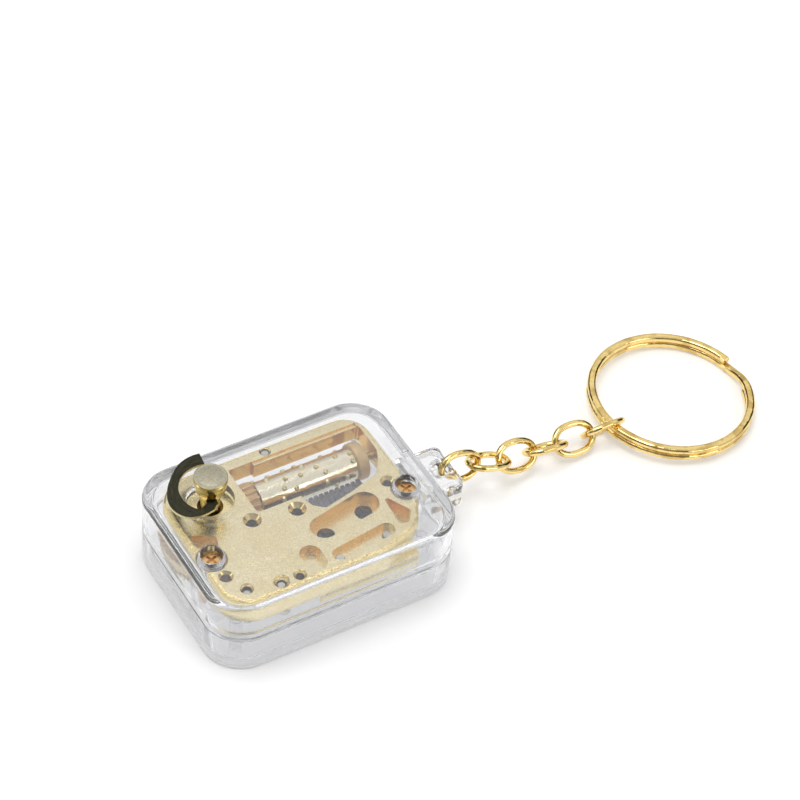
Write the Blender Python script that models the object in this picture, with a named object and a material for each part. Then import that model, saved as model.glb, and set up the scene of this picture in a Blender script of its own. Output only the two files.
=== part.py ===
"""Cylinder music box in a clear key-chain case, built as an assembly of separate pieces.

The dimensions below are in millimetres and MM turns them into metres. The origin is the centre
of the case's flat underside. +X points along the case to the lug and the chain, +Y across it to
the side of the drum, and +Z up, out of the lid that the winding post comes through. The movement
hangs upside down under the lid: the underside of its bedplate faces up.
"""

import math

import bmesh
import bpy
from mathutils import Matrix, Vector

MM = 0.001
GAP = 0.3  # room between pieces that would touch

# Case
CASE_LENGTH = 44.0
CASE_WIDTH = 32.8
CASE_HEIGHT = 14.35
CASE_CORNER = 6.6
CASE_EDGE = 0.8  # rounding of the outer top and bottom edges
WALL = 1.6
FLOOR = 1.5
INSIDE_EDGE = 0.4  # bevel between the floor and the walls, inside
SEAM_Z = 7.3  # where the upper shell starts
TONGUE_HEIGHT = 0.9  # rim of the lower shell that stands inside the upper one
TONGUE_WALL = 0.65
LID_BOTTOM = CASE_HEIGHT - FLOOR
LUG_TIP_X = 28.6
LUG_WIDTH = 9.5
LUG_LOW_Z = 4.6
LUG_HIGH_Z = 9.5
LUG_HOLE_X = 26.5
LUG_HOLE_RADIUS = 1.4
LUG_HOLE_CHAMFER = 0.55
CHEEK_INSIDE = 2.2  # half the open width between the lower shell's cheeks
CASE_SCREWS = {"case_screw_left": (-17.28, -3.31), "case_screw_right": (17.35, -4.2)}
SCREW_BOSS_RADIUS = 2.3
SCREW_HEAD_RADIUS = 1.75
SCREW_HEAD_TOP = 13.05
SCREW_SEAT_Z = 12.0
CORNER_PEGS = ((-17.4, -12.0), (16.4, -11.3), (17.3, 12.0))
PEG_RADIUS = 1.0

# Bedplate
PLATE_TOP = 12.5
PLATE_BOTTOM = 9.4
PLATE_LEFT = -19.1
PLATE_RIGHT = 18.5
PLATE_FRONT = -14.1
PLATE_BACK = 14.3
WINDOW_BACK = 11.4
WINDOW_STEP_X = -1.9  # left of it the window reaches back to the end of the ledge
LEDGE_BACK = 12.05
LEDGE_Z = 12.15
COMB_SEAT_Z = 8.8
COMB_SEAT_X = (-3.9, 13.9)
COMB_LIP_Y = (-13.9, -13.3)  # lip that hangs in front of the comb's root
COMB_LIP_Z = 7.6

# Winding post, on the axis of the spring barrel
WINDING_X = -12.05
WINDING_Y = 7.15
POST_TOP = 19.6
POST_HEAD_RADIUS = 2.72
POST_NECK_RADIUS = 1.6
CROSS_BORE_RADIUS = 0.66
CROSS_BORE_Z = 17.6
CROSS_BORE_TURN = -22.0
LEVER_TOP = 16.15  # of its arm, where it enters the post
LEVER_RISE = 0.8  # step up from the arm to the curled band
LEVER_THICKNESS = 0.45
LEVER_INNER_RADIUS = 5.05
LEVER_ARM_ANGLE = -113.0
LEVER_ARM_WIDTH = 1.7
LEVER_STEP_REACH = 3.3  # from the post's axis to the step in the arm

CLICK_X = WINDING_X + 3.2  # the click swings about its screw, beside the ratchet wheel
CLICK_Y = WINDING_Y - 2.75

# Spring barrel
BARREL_RADIUS = 6.5
BARREL_GEAR_TEETH = 48
BARREL_GEAR_LOW = 2.1
BARREL_GEAR_HIGH = 2.9
CROWN_TEETH = 32
CROWN_TOP = 6.25

# Drum
DRUM_Y = WINDING_Y
DRUM_Z = 9.15
DRUM_RADIUS = 2.72
DRUM_LEFT = -3.75
DRUM_RIGHT = 13.75
DRUM_PIN_REACH = 0.3
DRUM_GEAR_TEETH = 16
DRUM_GEAR_RADIUS = 3.2
DRUM_SHAFT_RADIUS = 0.6
NOTES = 18
NOTE_PITCH = 0.97
FIRST_NOTE_X = -3.25

# Comb
COMB_TOP = 8.5
COMB_THICKNESS = 0.6
COMB_FRONT = -13.0
COMB_BACK = -9.2
COMB_TIP_Y = 4.1
REAR_SCREW_X, REAR_SCREW_Y = 1.0, 13.1
COMB_SCREWS = {"comb_screw_left": (1.2, -11.5), "comb_screw_right": (10.15, -10.6)}

# Governor train
SPUR_MODULE = 0.28
FINE_MODULE = 0.25
FIRST_PINION_TEETH = 12
FIRST_WHEEL_TEETH = 30
SECOND_PINION_TEETH = 10
WORM_WHEEL_TEETH = 20
WORM_STARTS = 2
WORM_MID_RADIUS = 0.7
WORM_THREAD = 0.2
BACKLASH = 0.05
FIRST_ANGLE = -62.0  # from the barrel's axis to the first arbor
SECOND_ANGLE = -140.0  # from the first arbor to the second
WORM_Z = 4.55
GOVERNOR_SCREWS = {"governor_screw_left": (-15.2, -11.1), "governor_screw_right": (-9.7, -12.2)}
FRAME_LOW = 8.3
FRAME_HIGH = 9.0

# Chain and key ring
WIRE_RADIUS = 0.575
LINK_LENGTH = 8.5
LINK_WIDTH = 6.1
LINK_SLOPES = (17, 16, 12, 8, 4, 1)  # degrees down along the chain, as it lies
LINK_ROLLS = (75, 163, 235, 140, 222, 124)  # turn of each link's flat about the chain
CHAIN_YAW = 0.7
FIRST_ARC_X = 29.2  # middle of the first link's end arc, round the lug's web
FIRST_ARC_Z = 8.12
RING_RADIUS = 13.75  # to the middle of the wire
RING_WIRE_WIDTH = 1.5
RING_WIRE_HEIGHT = 1.12
RING_COIL_GAP = 0.15
RING_TILT = 2.8
RING_PLAY = 0.85  # from the last link's end to the ring
RING_BEARING = 7.0  # from the chain's end to the ring's centre
RING_LOW_END = -17.0  # where the low coil's end lies; the high coil's is RING_END_GAP further round
RING_END_GAP = 28.0


def on_circle(x, y, radius, degrees):
    angle = math.radians(degrees)
    return (x + radius * math.cos(angle), y + radius * math.sin(angle))


FIRST_DISTANCE = SPUR_MODULE * (BARREL_GEAR_TEETH + FIRST_PINION_TEETH) / 2 + BACKLASH
FIRST_X, FIRST_Y = on_circle(WINDING_X, WINDING_Y, FIRST_DISTANCE, FIRST_ANGLE)
SECOND_DISTANCE = FINE_MODULE * (FIRST_WHEEL_TEETH + SECOND_PINION_TEETH) / 2 + BACKLASH
SECOND_X, SECOND_Y = on_circle(FIRST_X, FIRST_Y, SECOND_DISTANCE, SECOND_ANGLE)
WORM_WHEEL_RADIUS = FINE_MODULE * WORM_WHEEL_TEETH / 2
WORM_Y = SECOND_Y - WORM_WHEEL_RADIUS - WORM_MID_RADIUS - 3 * BACKLASH


# ---------------------------------------------------------------- helpers


def clear_scene():
    for obj in list(bpy.data.objects):
        bpy.data.objects.remove(obj, do_unlink=True)


def material(name, colour, roughness, metallic, transmission=0.0):
    mat = bpy.data.materials.new(name)
    mat.use_nodes = True
    shader = mat.node_tree.nodes["Principled BSDF"]
    shader.inputs["Base Color"].default_value = (*colour, 1.0)
    shader.inputs["Roughness"].default_value = roughness
    shader.inputs["Metallic"].default_value = metallic
    shader.inputs["Transmission Weight"].default_value = transmission
    return mat


def make_object(name, shape, mat=None, smooth=True):
    """Turns a bmesh in millimetres into an object in metres."""
    bmesh.ops.recalc_face_normals(shape, faces=shape.faces)
    mesh = bpy.data.meshes.new(name)
    shape.to_mesh(mesh)
    shape.free()
    mesh.transform(Matrix.Scale(MM, 4))
    if smooth:
        mesh.shade_smooth()
        mesh.set_sharp_from_angle(angle=math.radians(35))
    obj = bpy.data.objects.new(name, mesh)
    bpy.context.scene.collection.objects.link(obj)
    if mat:
        mesh.materials.append(mat)
    return obj


def place(obj, x, y, z, turn=(0.0, 0.0, 0.0)):
    obj.location = Vector((x, y, z)) * MM
    obj.rotation_euler = [math.radians(angle) for angle in turn]
    return obj


def hide_cutter(obj):
    obj.hide_render = True
    obj.display_type = "WIRE"
    return obj


def combine(obj, other, operation):
    """Adds a Boolean with another object, which becomes a hidden helper."""
    modifier = obj.modifiers.new(operation.title() + "_" + other.name, "BOOLEAN")
    modifier.operation = operation
    modifier.object = hide_cutter(other)
    modifier.solver = "EXACT"
    return obj


def cut(obj, *cutters):
    for cutter in cutters:
        combine(obj, cutter, "DIFFERENCE")


def join(obj, *pieces):
    for piece in pieces:
        combine(obj, piece, "UNION")


def loft(name, sections, mat=None):
    """A closed body through outlines of equal point count, each an (outline, z) pair."""
    shape = bmesh.new()
    rings = [[shape.verts.new((x, y, z)) for x, y in outline] for outline, z in sections]
    for low, high in zip(rings, rings[1:]):
        for i in range(len(low)):
            j = (i + 1) % len(low)
            shape.faces.new((low[i], low[j], high[j], high[i]))
    shape.faces.new(reversed(rings[0]))
    shape.faces.new(rings[-1])
    return make_object(name, shape, mat)


def slab(name, outline, low, high, mat=None):
    return loft(name, [(outline, low), (outline, high)], mat)


def turned(name, profile, mat=None, segments=32):
    """A body turned about Z from a list of (radius, z) that closes on itself or on the axis."""
    shape = bmesh.new()
    points = [shape.verts.new((radius, 0.0, z)) for radius, z in profile]
    edges = [shape.edges.new(pair) for pair in zip(points, points[1:])]
    if profile[0][0] > 0 and profile[-1][0] > 0:
        edges.append(shape.edges.new((points[-1], points[0])))
    bmesh.ops.spin(
        shape,
        geom=points + edges,
        cent=(0, 0, 0),
        axis=(0, 0, 1),
        angle=2 * math.pi,
        steps=segments,
        use_merge=True,
    )
    bmesh.ops.remove_doubles(shape, verts=shape.verts, dist=1e-4)
    return make_object(name, shape, mat)


def rod(name, radius, low, high, mat=None, segments=16):
    return turned(name, [(0, high), (radius, high), (radius, low), (0, low)], mat, segments)


def block(name, x_range, y_range, z_range, mat=None):
    (x0, x1), (y0, y1) = x_range, y_range
    outline = [(x0, y0), (x1, y0), (x1, y1), (x0, y1)]
    return slab(name, outline, z_range[0], z_range[1], mat)


def rounded_rectangle(length, width, radius, steps=5):
    """Corner points of a rectangle centred on the origin, counter-clockwise."""
    points = []
    for quarter, (sign_x, sign_y) in enumerate(((1, 1), (-1, 1), (-1, -1), (1, -1))):
        centre_x = sign_x * (length / 2 - radius)
        centre_y = sign_y * (width / 2 - radius)
        for step in range(steps + 1):
            points.append(on_circle(centre_x, centre_y, radius, 90 * (quarter + step / steps)))
    return points


def rounded_polygon(corners, steps=3):
    """An outline through (x, y, radius) corners, counter-clockwise, with each corner an arc."""
    points = []
    for i, (x, y, radius) in enumerate(corners):
        here = Vector((x, y))
        before = Vector(corners[i - 1][:2]) - here
        after = Vector(corners[(i + 1) % len(corners)][:2]) - here
        if radius == 0:
            points.append((x, y))
            continue
        half = before.angle(after) / 2
        reach = radius / math.tan(half)
        bisector = (before.normalized() + after.normalized()).normalized()
        centre = here + bisector * radius / math.sin(half)
        start = here + before.normalized() * reach - centre
        end = here + after.normalized() * reach - centre
        sweep = start.angle_signed(end)
        for step in range(steps + 1):
            angle = -sweep * step / steps
            points.append(tuple(centre + Matrix.Rotation(angle, 2) @ start))
    return points


def gear_outline(teeth, root, tip, first=0.0, root_share=0.52, tip_share=0.24):
    """A spur gear's outline, with a tooth centred on the angle first (degrees)."""
    points = []
    step = 360 / teeth
    for tooth in range(teeth):
        middle = first + tooth * step
        points.append(on_circle(0, 0, root, middle - step * root_share / 2))
        points.append(on_circle(0, 0, tip, middle - step * tip_share / 2))
        points.append(on_circle(0, 0, tip, middle + step * tip_share / 2))
        points.append(on_circle(0, 0, root, middle + step * root_share / 2))
    return points


def spur_gear(name, teeth, module, low, high, first, mat):
    pitch = module * teeth / 2
    outline = gear_outline(teeth, pitch - 1.15 * module, pitch + 0.75 * module, first)
    return slab(name, outline, low, high, mat)


def wire(name, points, radius, mat, closed=True, sides=2):
    """A round wire along points, made as a curve with a bevel and then turned into a mesh."""
    curve = bpy.data.curves.new(name, "CURVE")
    curve.dimensions = "3D"
    curve.bevel_depth = radius * MM
    curve.bevel_resolution = sides
    curve.use_fill_caps = not closed
    spline = curve.splines.new("POLY")
    spline.points.add(len(points) - 1)
    for point, place_at in zip(spline.points, points):
        point.co = (*(Vector(place_at) * MM), 1.0)
    spline.use_cyclic_u = closed
    curve.materials.append(mat)
    obj = bpy.data.objects.new(name, curve)
    bpy.context.scene.collection.objects.link(obj)
    return obj


# ---------------------------------------------------------------- case


def case_outline(inset):
    return rounded_rectangle(
        CASE_LENGTH - 2 * inset, CASE_WIDTH - 2 * inset, CASE_CORNER - inset
    )


def edge_sections(outer_z, direction):
    """Sections that round the case's outer edge, from its flat face towards the side wall."""
    sections = []
    for step in range(3):
        angle = math.radians(90 * step / 2)
        inset = CASE_EDGE * (1 - math.sin(angle))
        height = CASE_EDGE * (1 - math.cos(angle))
        sections.append((case_outline(inset), outer_z + direction * height))
    return sections


def lug_outline(y0, y1, r0, r1):
    root = CASE_LENGTH / 2 - WALL / 2
    return rounded_polygon([(root, y0, 0), (LUG_TIP_X, y0, r0), (LUG_TIP_X, y1, r1), (root, y1, 0)])


def make_lug_plate():
    """The upper shell's lug, with its top edge rounded down at the tip."""
    half = LUG_WIDTH / 2
    sections = []
    rounding = (
        (0.25, SEAM_Z),
        (0.0, SEAM_Z + 0.25),
        (0.0, LUG_HIGH_Z - 0.5),
        (0.15, LUG_HIGH_Z - 0.15),
        (0.5, LUG_HIGH_Z),
    )
    for inset, z in rounding:
        outline = lug_outline(-half + inset, half - inset, 1.3, 1.3)
        sections.append(([(min(x, LUG_TIP_X - inset), y) for x, y in outline], z))
    return loft("lug_plate", sections)


def make_lug_bore():
    low, high = SEAM_Z - 0.5, LUG_HIGH_Z + 0.5
    wide = LUG_HOLE_RADIUS + LUG_HOLE_CHAMFER
    profile = [
        (0, high),
        (wide, high),
        (wide, LUG_HIGH_Z),
        (LUG_HOLE_RADIUS, LUG_HIGH_Z - LUG_HOLE_CHAMFER),
        (LUG_HOLE_RADIUS, low),
        (0, low),
    ]
    return place(turned("lug_bore", profile, segments=20), LUG_HOLE_X, 0, 0)


def make_lower_case(clear):
    seam = SEAM_Z - GAP
    sections = edge_sections(0, 1)
    sections.append((case_outline(0), seam))
    sections.append((case_outline(WALL - TONGUE_WALL), seam))
    sections.append((case_outline(WALL - TONGUE_WALL), seam + TONGUE_HEIGHT))
    sections.append((case_outline(WALL), seam + TONGUE_HEIGHT))
    sections.append((case_outline(WALL), FLOOR + INSIDE_EDGE))
    sections.append((case_outline(WALL + INSIDE_EDGE), FLOOR))
    shell = loft("lower_case", sections, clear)
    half = LUG_WIDTH / 2
    join(shell, slab("front_cheek", lug_outline(-half, -CHEEK_INSIDE, 1.3, 0.4), LUG_LOW_Z, seam))
    join(shell, slab("rear_cheek", lug_outline(CHEEK_INSIDE, half, 0.4, 1.3), LUG_LOW_Z, seam))
    for index, (x, y) in enumerate(CASE_SCREWS.values()):
        boss = rod(f"lower_boss_{index}", SCREW_BOSS_RADIUS, FLOOR - 0.5, 8.7, segments=20)
        join(shell, place(boss, x, y, 0))
    for index, (x, y) in enumerate(CORNER_PEGS):
        peg = rod(f"corner_peg_{index}", PEG_RADIUS, FLOOR - 0.5, PLATE_BOTTOM - GAP, segments=12)
        join(shell, place(peg, x, y, 0))
    for index, (x, y) in enumerate(CASE_SCREWS.values()):
        cut(shell, place(rod(f"boss_bore_{index}", 1.0, 4.0, 10.0), x, y, 0))


def make_upper_case(clear):
    recess = WALL - TONGUE_WALL - GAP
    sections = edge_sections(CASE_HEIGHT, -1)
    sections.append((case_outline(0), SEAM_Z))
    sections.append((case_outline(recess), SEAM_Z))
    sections.append((case_outline(recess), SEAM_Z + TONGUE_HEIGHT))
    sections.append((case_outline(WALL), SEAM_Z + TONGUE_HEIGHT))
    sections.append((case_outline(WALL), LID_BOTTOM - INSIDE_EDGE))
    sections.append((case_outline(WALL + INSIDE_EDGE), LID_BOTTOM))
    shell = loft("upper_case", sections, clear)
    join(shell, make_lug_plate())
    for index, (x, y) in enumerate(CASE_SCREWS.values()):
        boss = rod(f"upper_boss_{index}", SCREW_BOSS_RADIUS, 9.0, LID_BOTTOM + 0.5, segments=20)
        join(shell, place(boss, x, y, 0))
    for index, (x, y) in enumerate(CASE_SCREWS.values()):
        bore = [(0, 16), (2.0, 16), (2.0, SCREW_SEAT_Z), (1.1, SCREW_SEAT_Z), (1.1, 8.5), (0, 8.5)]
        cut(shell, place(turned(f"counterbore_{index}", bore, segments=18), x, y, 0))
    post_hole = rod("post_hole", 3.9, LID_BOTTOM - 1, CASE_HEIGHT + 1, segments=28)
    cut(shell, place(post_hole, WINDING_X, WINDING_Y, 0), make_lug_bore())


def make_case_screws(steel):
    for name, (x, y) in CASE_SCREWS.items():
        seat = SCREW_SEAT_Z + 0.1
        head = SCREW_HEAD_RADIUS
        profile = [
            (0, SCREW_HEAD_TOP),
            (head - 0.25, SCREW_HEAD_TOP),
            (head, SCREW_HEAD_TOP - 0.3),
            (head, seat),
            (0.85, seat),
            (0.85, 5.2),
            (0.4, 4.6),
            (0, 4.6),
        ]
        screw = place(turned(name, profile, steel, 16), x, y, 0)
        for index, turn in enumerate((20, 110)):
            slot = block(f"{name}_slot_{index}", (-1.05, 1.05), (-0.22, 0.22), (-0.45, 1))
            cut(screw, place(slot, x, y, SCREW_HEAD_TOP, (0, 0, turn)))


# ---------------------------------------------------------------- bedplate


def plate_outline():
    return rounded_polygon(
        [
            (PLATE_LEFT, PLATE_FRONT, 5.0),
            (8.2, PLATE_FRONT, 6.0),
            (15.4, -11.6, 4.5),
            (PLATE_RIGHT, -6.2, 4.0),
            (PLATE_RIGHT, PLATE_BACK, 4.5),
            (PLATE_LEFT, PLATE_BACK, 6.0),
        ]
    )


def window_outline():
    return rounded_polygon(
        [
            (-6.3, 2.0, 0.8),
            (1.5, 2.0, 0),
            (2.2, -0.6, 0.8),
            (3.9, -2.0, 0.8),
            (9.5, -0.8, 3.0),
            (15.1, 0.9, 1.5),
            (17.3, 5.0, 2.0),
            (17.3, WINDOW_BACK, 0.6),
            (WINDOW_STEP_X, WINDOW_BACK, 0),
            (WINDOW_STEP_X, LEDGE_BACK, 0),
            (-6.3, LEDGE_BACK, 0.3),
        ],
        steps=2,
    )


def oblong(x0, y0, r0, x1, y1, r1, steps=5):
    """Two round ends of radii r0 and r1 about two centres, joined by straight sides."""
    along = math.degrees(math.atan2(y1 - y0, x1 - x0))
    points = [on_circle(x1, y1, r1, along - 90 + 180 * k / steps) for k in range(steps + 1)]
    points += [on_circle(x0, y0, r0, along + 90 + 180 * k / steps) for k in range(steps + 1)]
    return points


def make_bedplate(gold):
    outline = plate_outline()
    shape = bmesh.new()
    floor = shape.faces.new([shape.verts.new((x, y, PLATE_BOTTOM)) for x, y in outline])
    grown = bmesh.ops.extrude_face_region(shape, geom=[floor])
    lifted = [item for item in grown["geom"] if isinstance(item, bmesh.types.BMVert)]
    bmesh.ops.translate(shape, verts=lifted, vec=(0, 0, PLATE_TOP - PLATE_BOTTOM))
    top_edges = [edge for edge in shape.edges if all(v.co.z > PLATE_TOP - 0.01 for v in edge.verts)]
    bmesh.ops.bevel(
        shape,
        geom=top_edges,
        offset=0.7,
        segments=2,
        profile=0.5,
        affect="EDGES",
    )
    plate = make_object("bedplate", shape, gold)

    left, right = COMB_SEAT_X
    front, back = COMB_LIP_Y
    seat = [(left, front, 0.5), (right, front, 0.5), (right, -9.2, 0.5), (left, -9.2, 0.5)]
    join(plate, slab("comb_seat", rounded_polygon(seat), COMB_SEAT_Z, PLATE_BOTTOM + 0.5))
    lip = [(left, front, 0.25), (right, front, 0.25), (right, back, 0.25), (left, back, 0.25)]
    join(plate, slab("comb_lip", rounded_polygon(lip), COMB_LIP_Z, PLATE_BOTTOM + 0.4))

    through_low, through_high = 8.0, 13.5
    cut(plate, slab("drum_window", window_outline(), PLATE_BOTTOM - 0.6, through_high))
    ledge_y = (WINDOW_BACK - 0.5, LEDGE_BACK)
    ledge = block("window_ledge", (WINDOW_STEP_X - 0.5, 17.0), ledge_y, (LEDGE_Z, through_high))
    cut(plate, ledge)
    post_bore = rod("post_bore", 2.1, through_low, through_high, segments=24)
    cut(plate, place(post_bore, WINDING_X, WINDING_Y, 0))
    for index, (x, y) in enumerate(CASE_SCREWS.values()):
        radius = SCREW_BOSS_RADIUS + GAP
        notch = rod(f"notch_{index}", radius, through_low, through_high, segments=20)
        cut(plate, place(notch, x, y, 0))

    holes = {
        "chamfered_left": (-7.8, 1.0, 0.8, 1.5),
        "chamfered_right": (-0.3, -0.1, 0.8, 1.5),
        "rear": (REAR_SCREW_X, REAR_SCREW_Y, 0.8, 1.0),
        "corner": (*GOVERNOR_SCREWS["governor_screw_left"], 0.8, 1.1),
        "front_left": (*GOVERNOR_SCREWS["governor_screw_right"], 0.8, 1.35),
        "front_right": (-6.5, -12.3, 0.7, 1.1),
        "edge": (-16.9, -7.4, 0.8, 1.2),
        "side": (15.4, -1.5, 0.7, 1.2),
    }
    for name, (x, y, radius, mouth) in holes.items():
        profile = [
            (0, through_high),
            (mouth, through_high),
            (mouth, PLATE_TOP - 0.05),
            (radius, PLATE_TOP - 0.05 - (mouth - radius)),
            (radius, through_low),
            (0, through_low),
        ]
        cut(plate, place(turned(f"{name}_hole", profile, segments=10), x, y, 0))
    for name, (x, y) in COMB_SCREWS.items():
        cut(plate, place(rod(f"{name}_bore", 0.8, through_low, through_high, segments=12), x, y, 0))

    corner = [(12.6, -10.2, 0.4), (14.2, -10.6, 0.4), (15.7, -8.6, 0.4), (13.1, -3.6, 0.4)]
    side = [(-18.2, -0.3, 0.4), (-15.4, -2.4, 0.5), (-14.4, 0.6, 0.5), (-18.2, 2.6, 0.4)]
    pockets = {
        "wide_pocket": (oblong(1.6, -5.4, 2.3, 9.8, -3.9, 2.4), 10.4),
        "narrow_pocket": (oblong(1.1, -11.4, 1.25, 10.2, -10.3, 1.35), 11.3),
        "oval_pocket": (oblong(-3.0, -11.2, 1.75, -3.0, -9.3, 1.75), 10.9),
        "corner_pocket": (rounded_polygon(corner, 2), 10.6),
        "side_pocket": (rounded_polygon(side, 2), 10.6),
    }
    for name, (pocket, depth_z) in pockets.items():
        cut(plate, slab(name, pocket, depth_z, through_high))
    for index, (x, y) in enumerate(((2.0, -5.4), (9.7, -3.9))):
        sight = rod(f"sight_hole_{index}", 1.45, through_low, through_high, segments=14)
        cut(plate, place(sight, x, y, 0))
    click_hole = rod("click_screw_hole", 0.4, PLATE_BOTTOM - 1, 10.4, segments=10)
    cut(plate, place(click_hole, CLICK_X, CLICK_Y, 0))
    groove = rod("shaft_groove", DRUM_SHAFT_RADIUS + 0.1, -10.2, 19.0, segments=16)
    cut(plate, place(groove, 0, DRUM_Y, DRUM_Z, (0, 90, 0)))


def make_rear_screw(steel):
    place(rod("rear_screw", 0.65, 9.6, 12.1, steel, 12), REAR_SCREW_X, REAR_SCREW_Y, 0)


def make_bearing_caps(gold):
    """Half bearings that hold the drum's shaft in the grooves under the bedplate."""
    for name, x_range in (("bearing_cap_left", (-9.4, -7.4)), ("bearing_cap_right", (17.4, 18.4))):
        cap = block(name, x_range, (DRUM_Y - 1.9, DRUM_Y + 1.9), (8.0, PLATE_BOTTOM - 0.2), gold)
        bore = rod(f"{name}_bore", DRUM_SHAFT_RADIUS + 0.1, -30, 30, segments=16)
        cut(cap, place(bore, 0, DRUM_Y, DRUM_Z, (0, 90, 0)))


# ---------------------------------------------------------------- comb


def comb_outline():
    width = 0.6
    left = FIRST_NOTE_X - NOTE_PITCH / 2
    right = FIRST_NOTE_X + (NOTES - 0.5) * NOTE_PITCH
    points = [(left, COMB_BACK), (left, COMB_FRONT + 1), (left + 1, COMB_FRONT)]
    points += [(right - 1, COMB_FRONT), (right, COMB_FRONT + 1), (right, COMB_BACK)]
    for note in reversed(range(NOTES)):
        x = FIRST_NOTE_X + note * NOTE_PITCH
        root = COMB_BACK + 3.5 * note / NOTES
        points.append((x + width / 2 + 0.05, root))
        points.append((x + width / 2 - 0.1, COMB_TIP_Y))
        points.append((x - width / 2 + 0.1, COMB_TIP_Y))
        points.append((x - width / 2 - 0.05, root))
    return points


def make_comb(steel):
    comb = slab("comb", comb_outline(), COMB_TOP - COMB_THICKNESS, COMB_TOP, steel)
    for name, (x, y) in COMB_SCREWS.items():
        cut(comb, place(rod(f"{name}_hole", 0.85, 7, 10, segments=12), x, y, 0))


def make_cheese_head_screw(name, x, y, seat, tip, shank, mat):
    """A slotted screw driven up from below, its head under seat."""
    head_low = seat - 1.0
    profile = [(0, tip), (shank, tip), (shank, seat), (1.2, seat), (1.2, head_low), (0, head_low)]
    screw = place(turned(name, profile, mat, 16), x, y, 0)
    slot = block(f"{name}_slot", (-2, 2), (-0.2, 0.2), (-1, 0.35))
    cut(screw, place(slot, x, y, head_low, (0, 0, 35)))


# ---------------------------------------------------------------- winding gear


def make_winding_post(brass):
    profile = [
        (0, POST_TOP),
        (POST_HEAD_RADIUS - 0.12, POST_TOP),
        (POST_HEAD_RADIUS, POST_TOP - 0.12),
        (POST_HEAD_RADIUS, 18.65),
        (2.7, 18.2),
        (2.63, 17.75),
        (2.55, 17.3),
        (2.45, 16.9),
        (2.35, 16.55),
        (2.2, 16.25),
        (1.9, 15.9),
        (1.75, 15.5),
        (1.75, 15.1),
        (POST_NECK_RADIUS, 14.9),
        (POST_NECK_RADIUS, 9.2),
        (1.1, 9.0),
        (1.1, 5.6),
        (0.9, 5.4),
        (0.9, 2.4),
        (0, 2.4),
    ]
    post = place(turned("winding_post", profile, brass, 20), WINDING_X, WINDING_Y, 0)
    bore = rod("cross_bore", CROSS_BORE_RADIUS, -4, 4, segments=12)
    cut(post, place(bore, WINDING_X, WINDING_Y, CROSS_BORE_Z, (90, 0, CROSS_BORE_TURN)))
    clearance = 0.1
    slot = block(
        "lever_slot",
        (0.8, 4),
        (-LEVER_ARM_WIDTH / 2 - clearance, LEVER_ARM_WIDTH / 2 + clearance),
        (LEVER_TOP - LEVER_THICKNESS - clearance, LEVER_TOP + clearance),
    )
    cut(post, place(slot, WINDING_X, WINDING_Y, 0, (0, 0, LEVER_ARM_ANGLE)))


def lever_outline():
    """The sickle-shaped lever: an arm out of the post, then a band that curls round it."""
    outer = ((76, 7.45), (100, 7.15), (132, 6.55), (160, 6.85), (180, 7.4), (196, 7.6), (212, 7.3))
    outer += ((226, 6.4), (240, 5.35), (250, 4.75))
    points = [on_circle(0, 0, radius, angle) for angle, radius in outer]
    side = LEVER_ARM_WIDTH / 2
    arm = math.radians(LEVER_ARM_ANGLE)
    along, across = Vector((math.cos(arm), math.sin(arm))), Vector((-math.sin(arm), math.cos(arm)))
    points.append(tuple(along * LEVER_STEP_REACH + across * side))
    points.append(tuple(along * LEVER_STEP_REACH - across * side))
    inner_angles = [224 - step * (224 - 73) / 12 for step in range(13)]
    points += [on_circle(0, 0, LEVER_INNER_RADIUS, angle) for angle in inner_angles]
    return points


def make_winding_lever(black):
    low, high = LEVER_TOP - LEVER_THICKNESS, LEVER_TOP + LEVER_RISE
    side = (-LEVER_ARM_WIDTH / 2, LEVER_ARM_WIDTH / 2)
    turn = (0, 0, LEVER_ARM_ANGLE)
    lever = slab("winding_lever", lever_outline(), low + LEVER_RISE, high, black)
    place(lever, WINDING_X, WINDING_Y, 0)
    inner_arm = block("lever_arm", (0.9, LEVER_STEP_REACH + 0.4), side, (low, LEVER_TOP))
    step = block("lever_step", (LEVER_STEP_REACH - 0.1, LEVER_STEP_REACH + 0.5), side, (low, high))
    for piece in (inner_arm, step):
        join(lever, place(piece, WINDING_X, WINDING_Y, 0, turn))


def make_ratchet(brass):
    """A saw-toothed wheel on the post, and the click that lets it turn one way only."""
    teeth = 12
    points = []
    for tooth in range(teeth):
        points.append(on_circle(0, 0, 2.0, 360 * tooth / teeth))
        points.append(on_circle(0, 0, 2.5, 360 * (tooth + 0.92) / teeth))
    wheel = slab("ratchet_wheel", points, 8.1, 8.7, brass)
    cut(wheel, rod("ratchet_bore", 1.2, 7, 10, segments=16))
    place(wheel, WINDING_X, WINDING_Y, 0)
    wheel.modifiers[0].object.location = wheel.location


def make_click(steel):
    outline = oblong(0, 0, 0.7, -3.0, -0.3, 0.25, steps=5)
    click = slab("click", outline, 8.1, 8.7, steel)
    bore = place(rod("click_bore", 0.36, 7, 10, segments=10), CLICK_X, CLICK_Y, 0)
    cut(place(click, CLICK_X, CLICK_Y, 0), bore)
    profile = [(0, 10.1), (0.28, 10.1), (0.28, 8.0), (0.7, 8.0), (0.7, 7.6), (0, 7.6)]
    place(turned("click_screw", profile, steel, 12), CLICK_X, CLICK_Y, 0)


# ---------------------------------------------------------------- spring barrel


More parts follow.
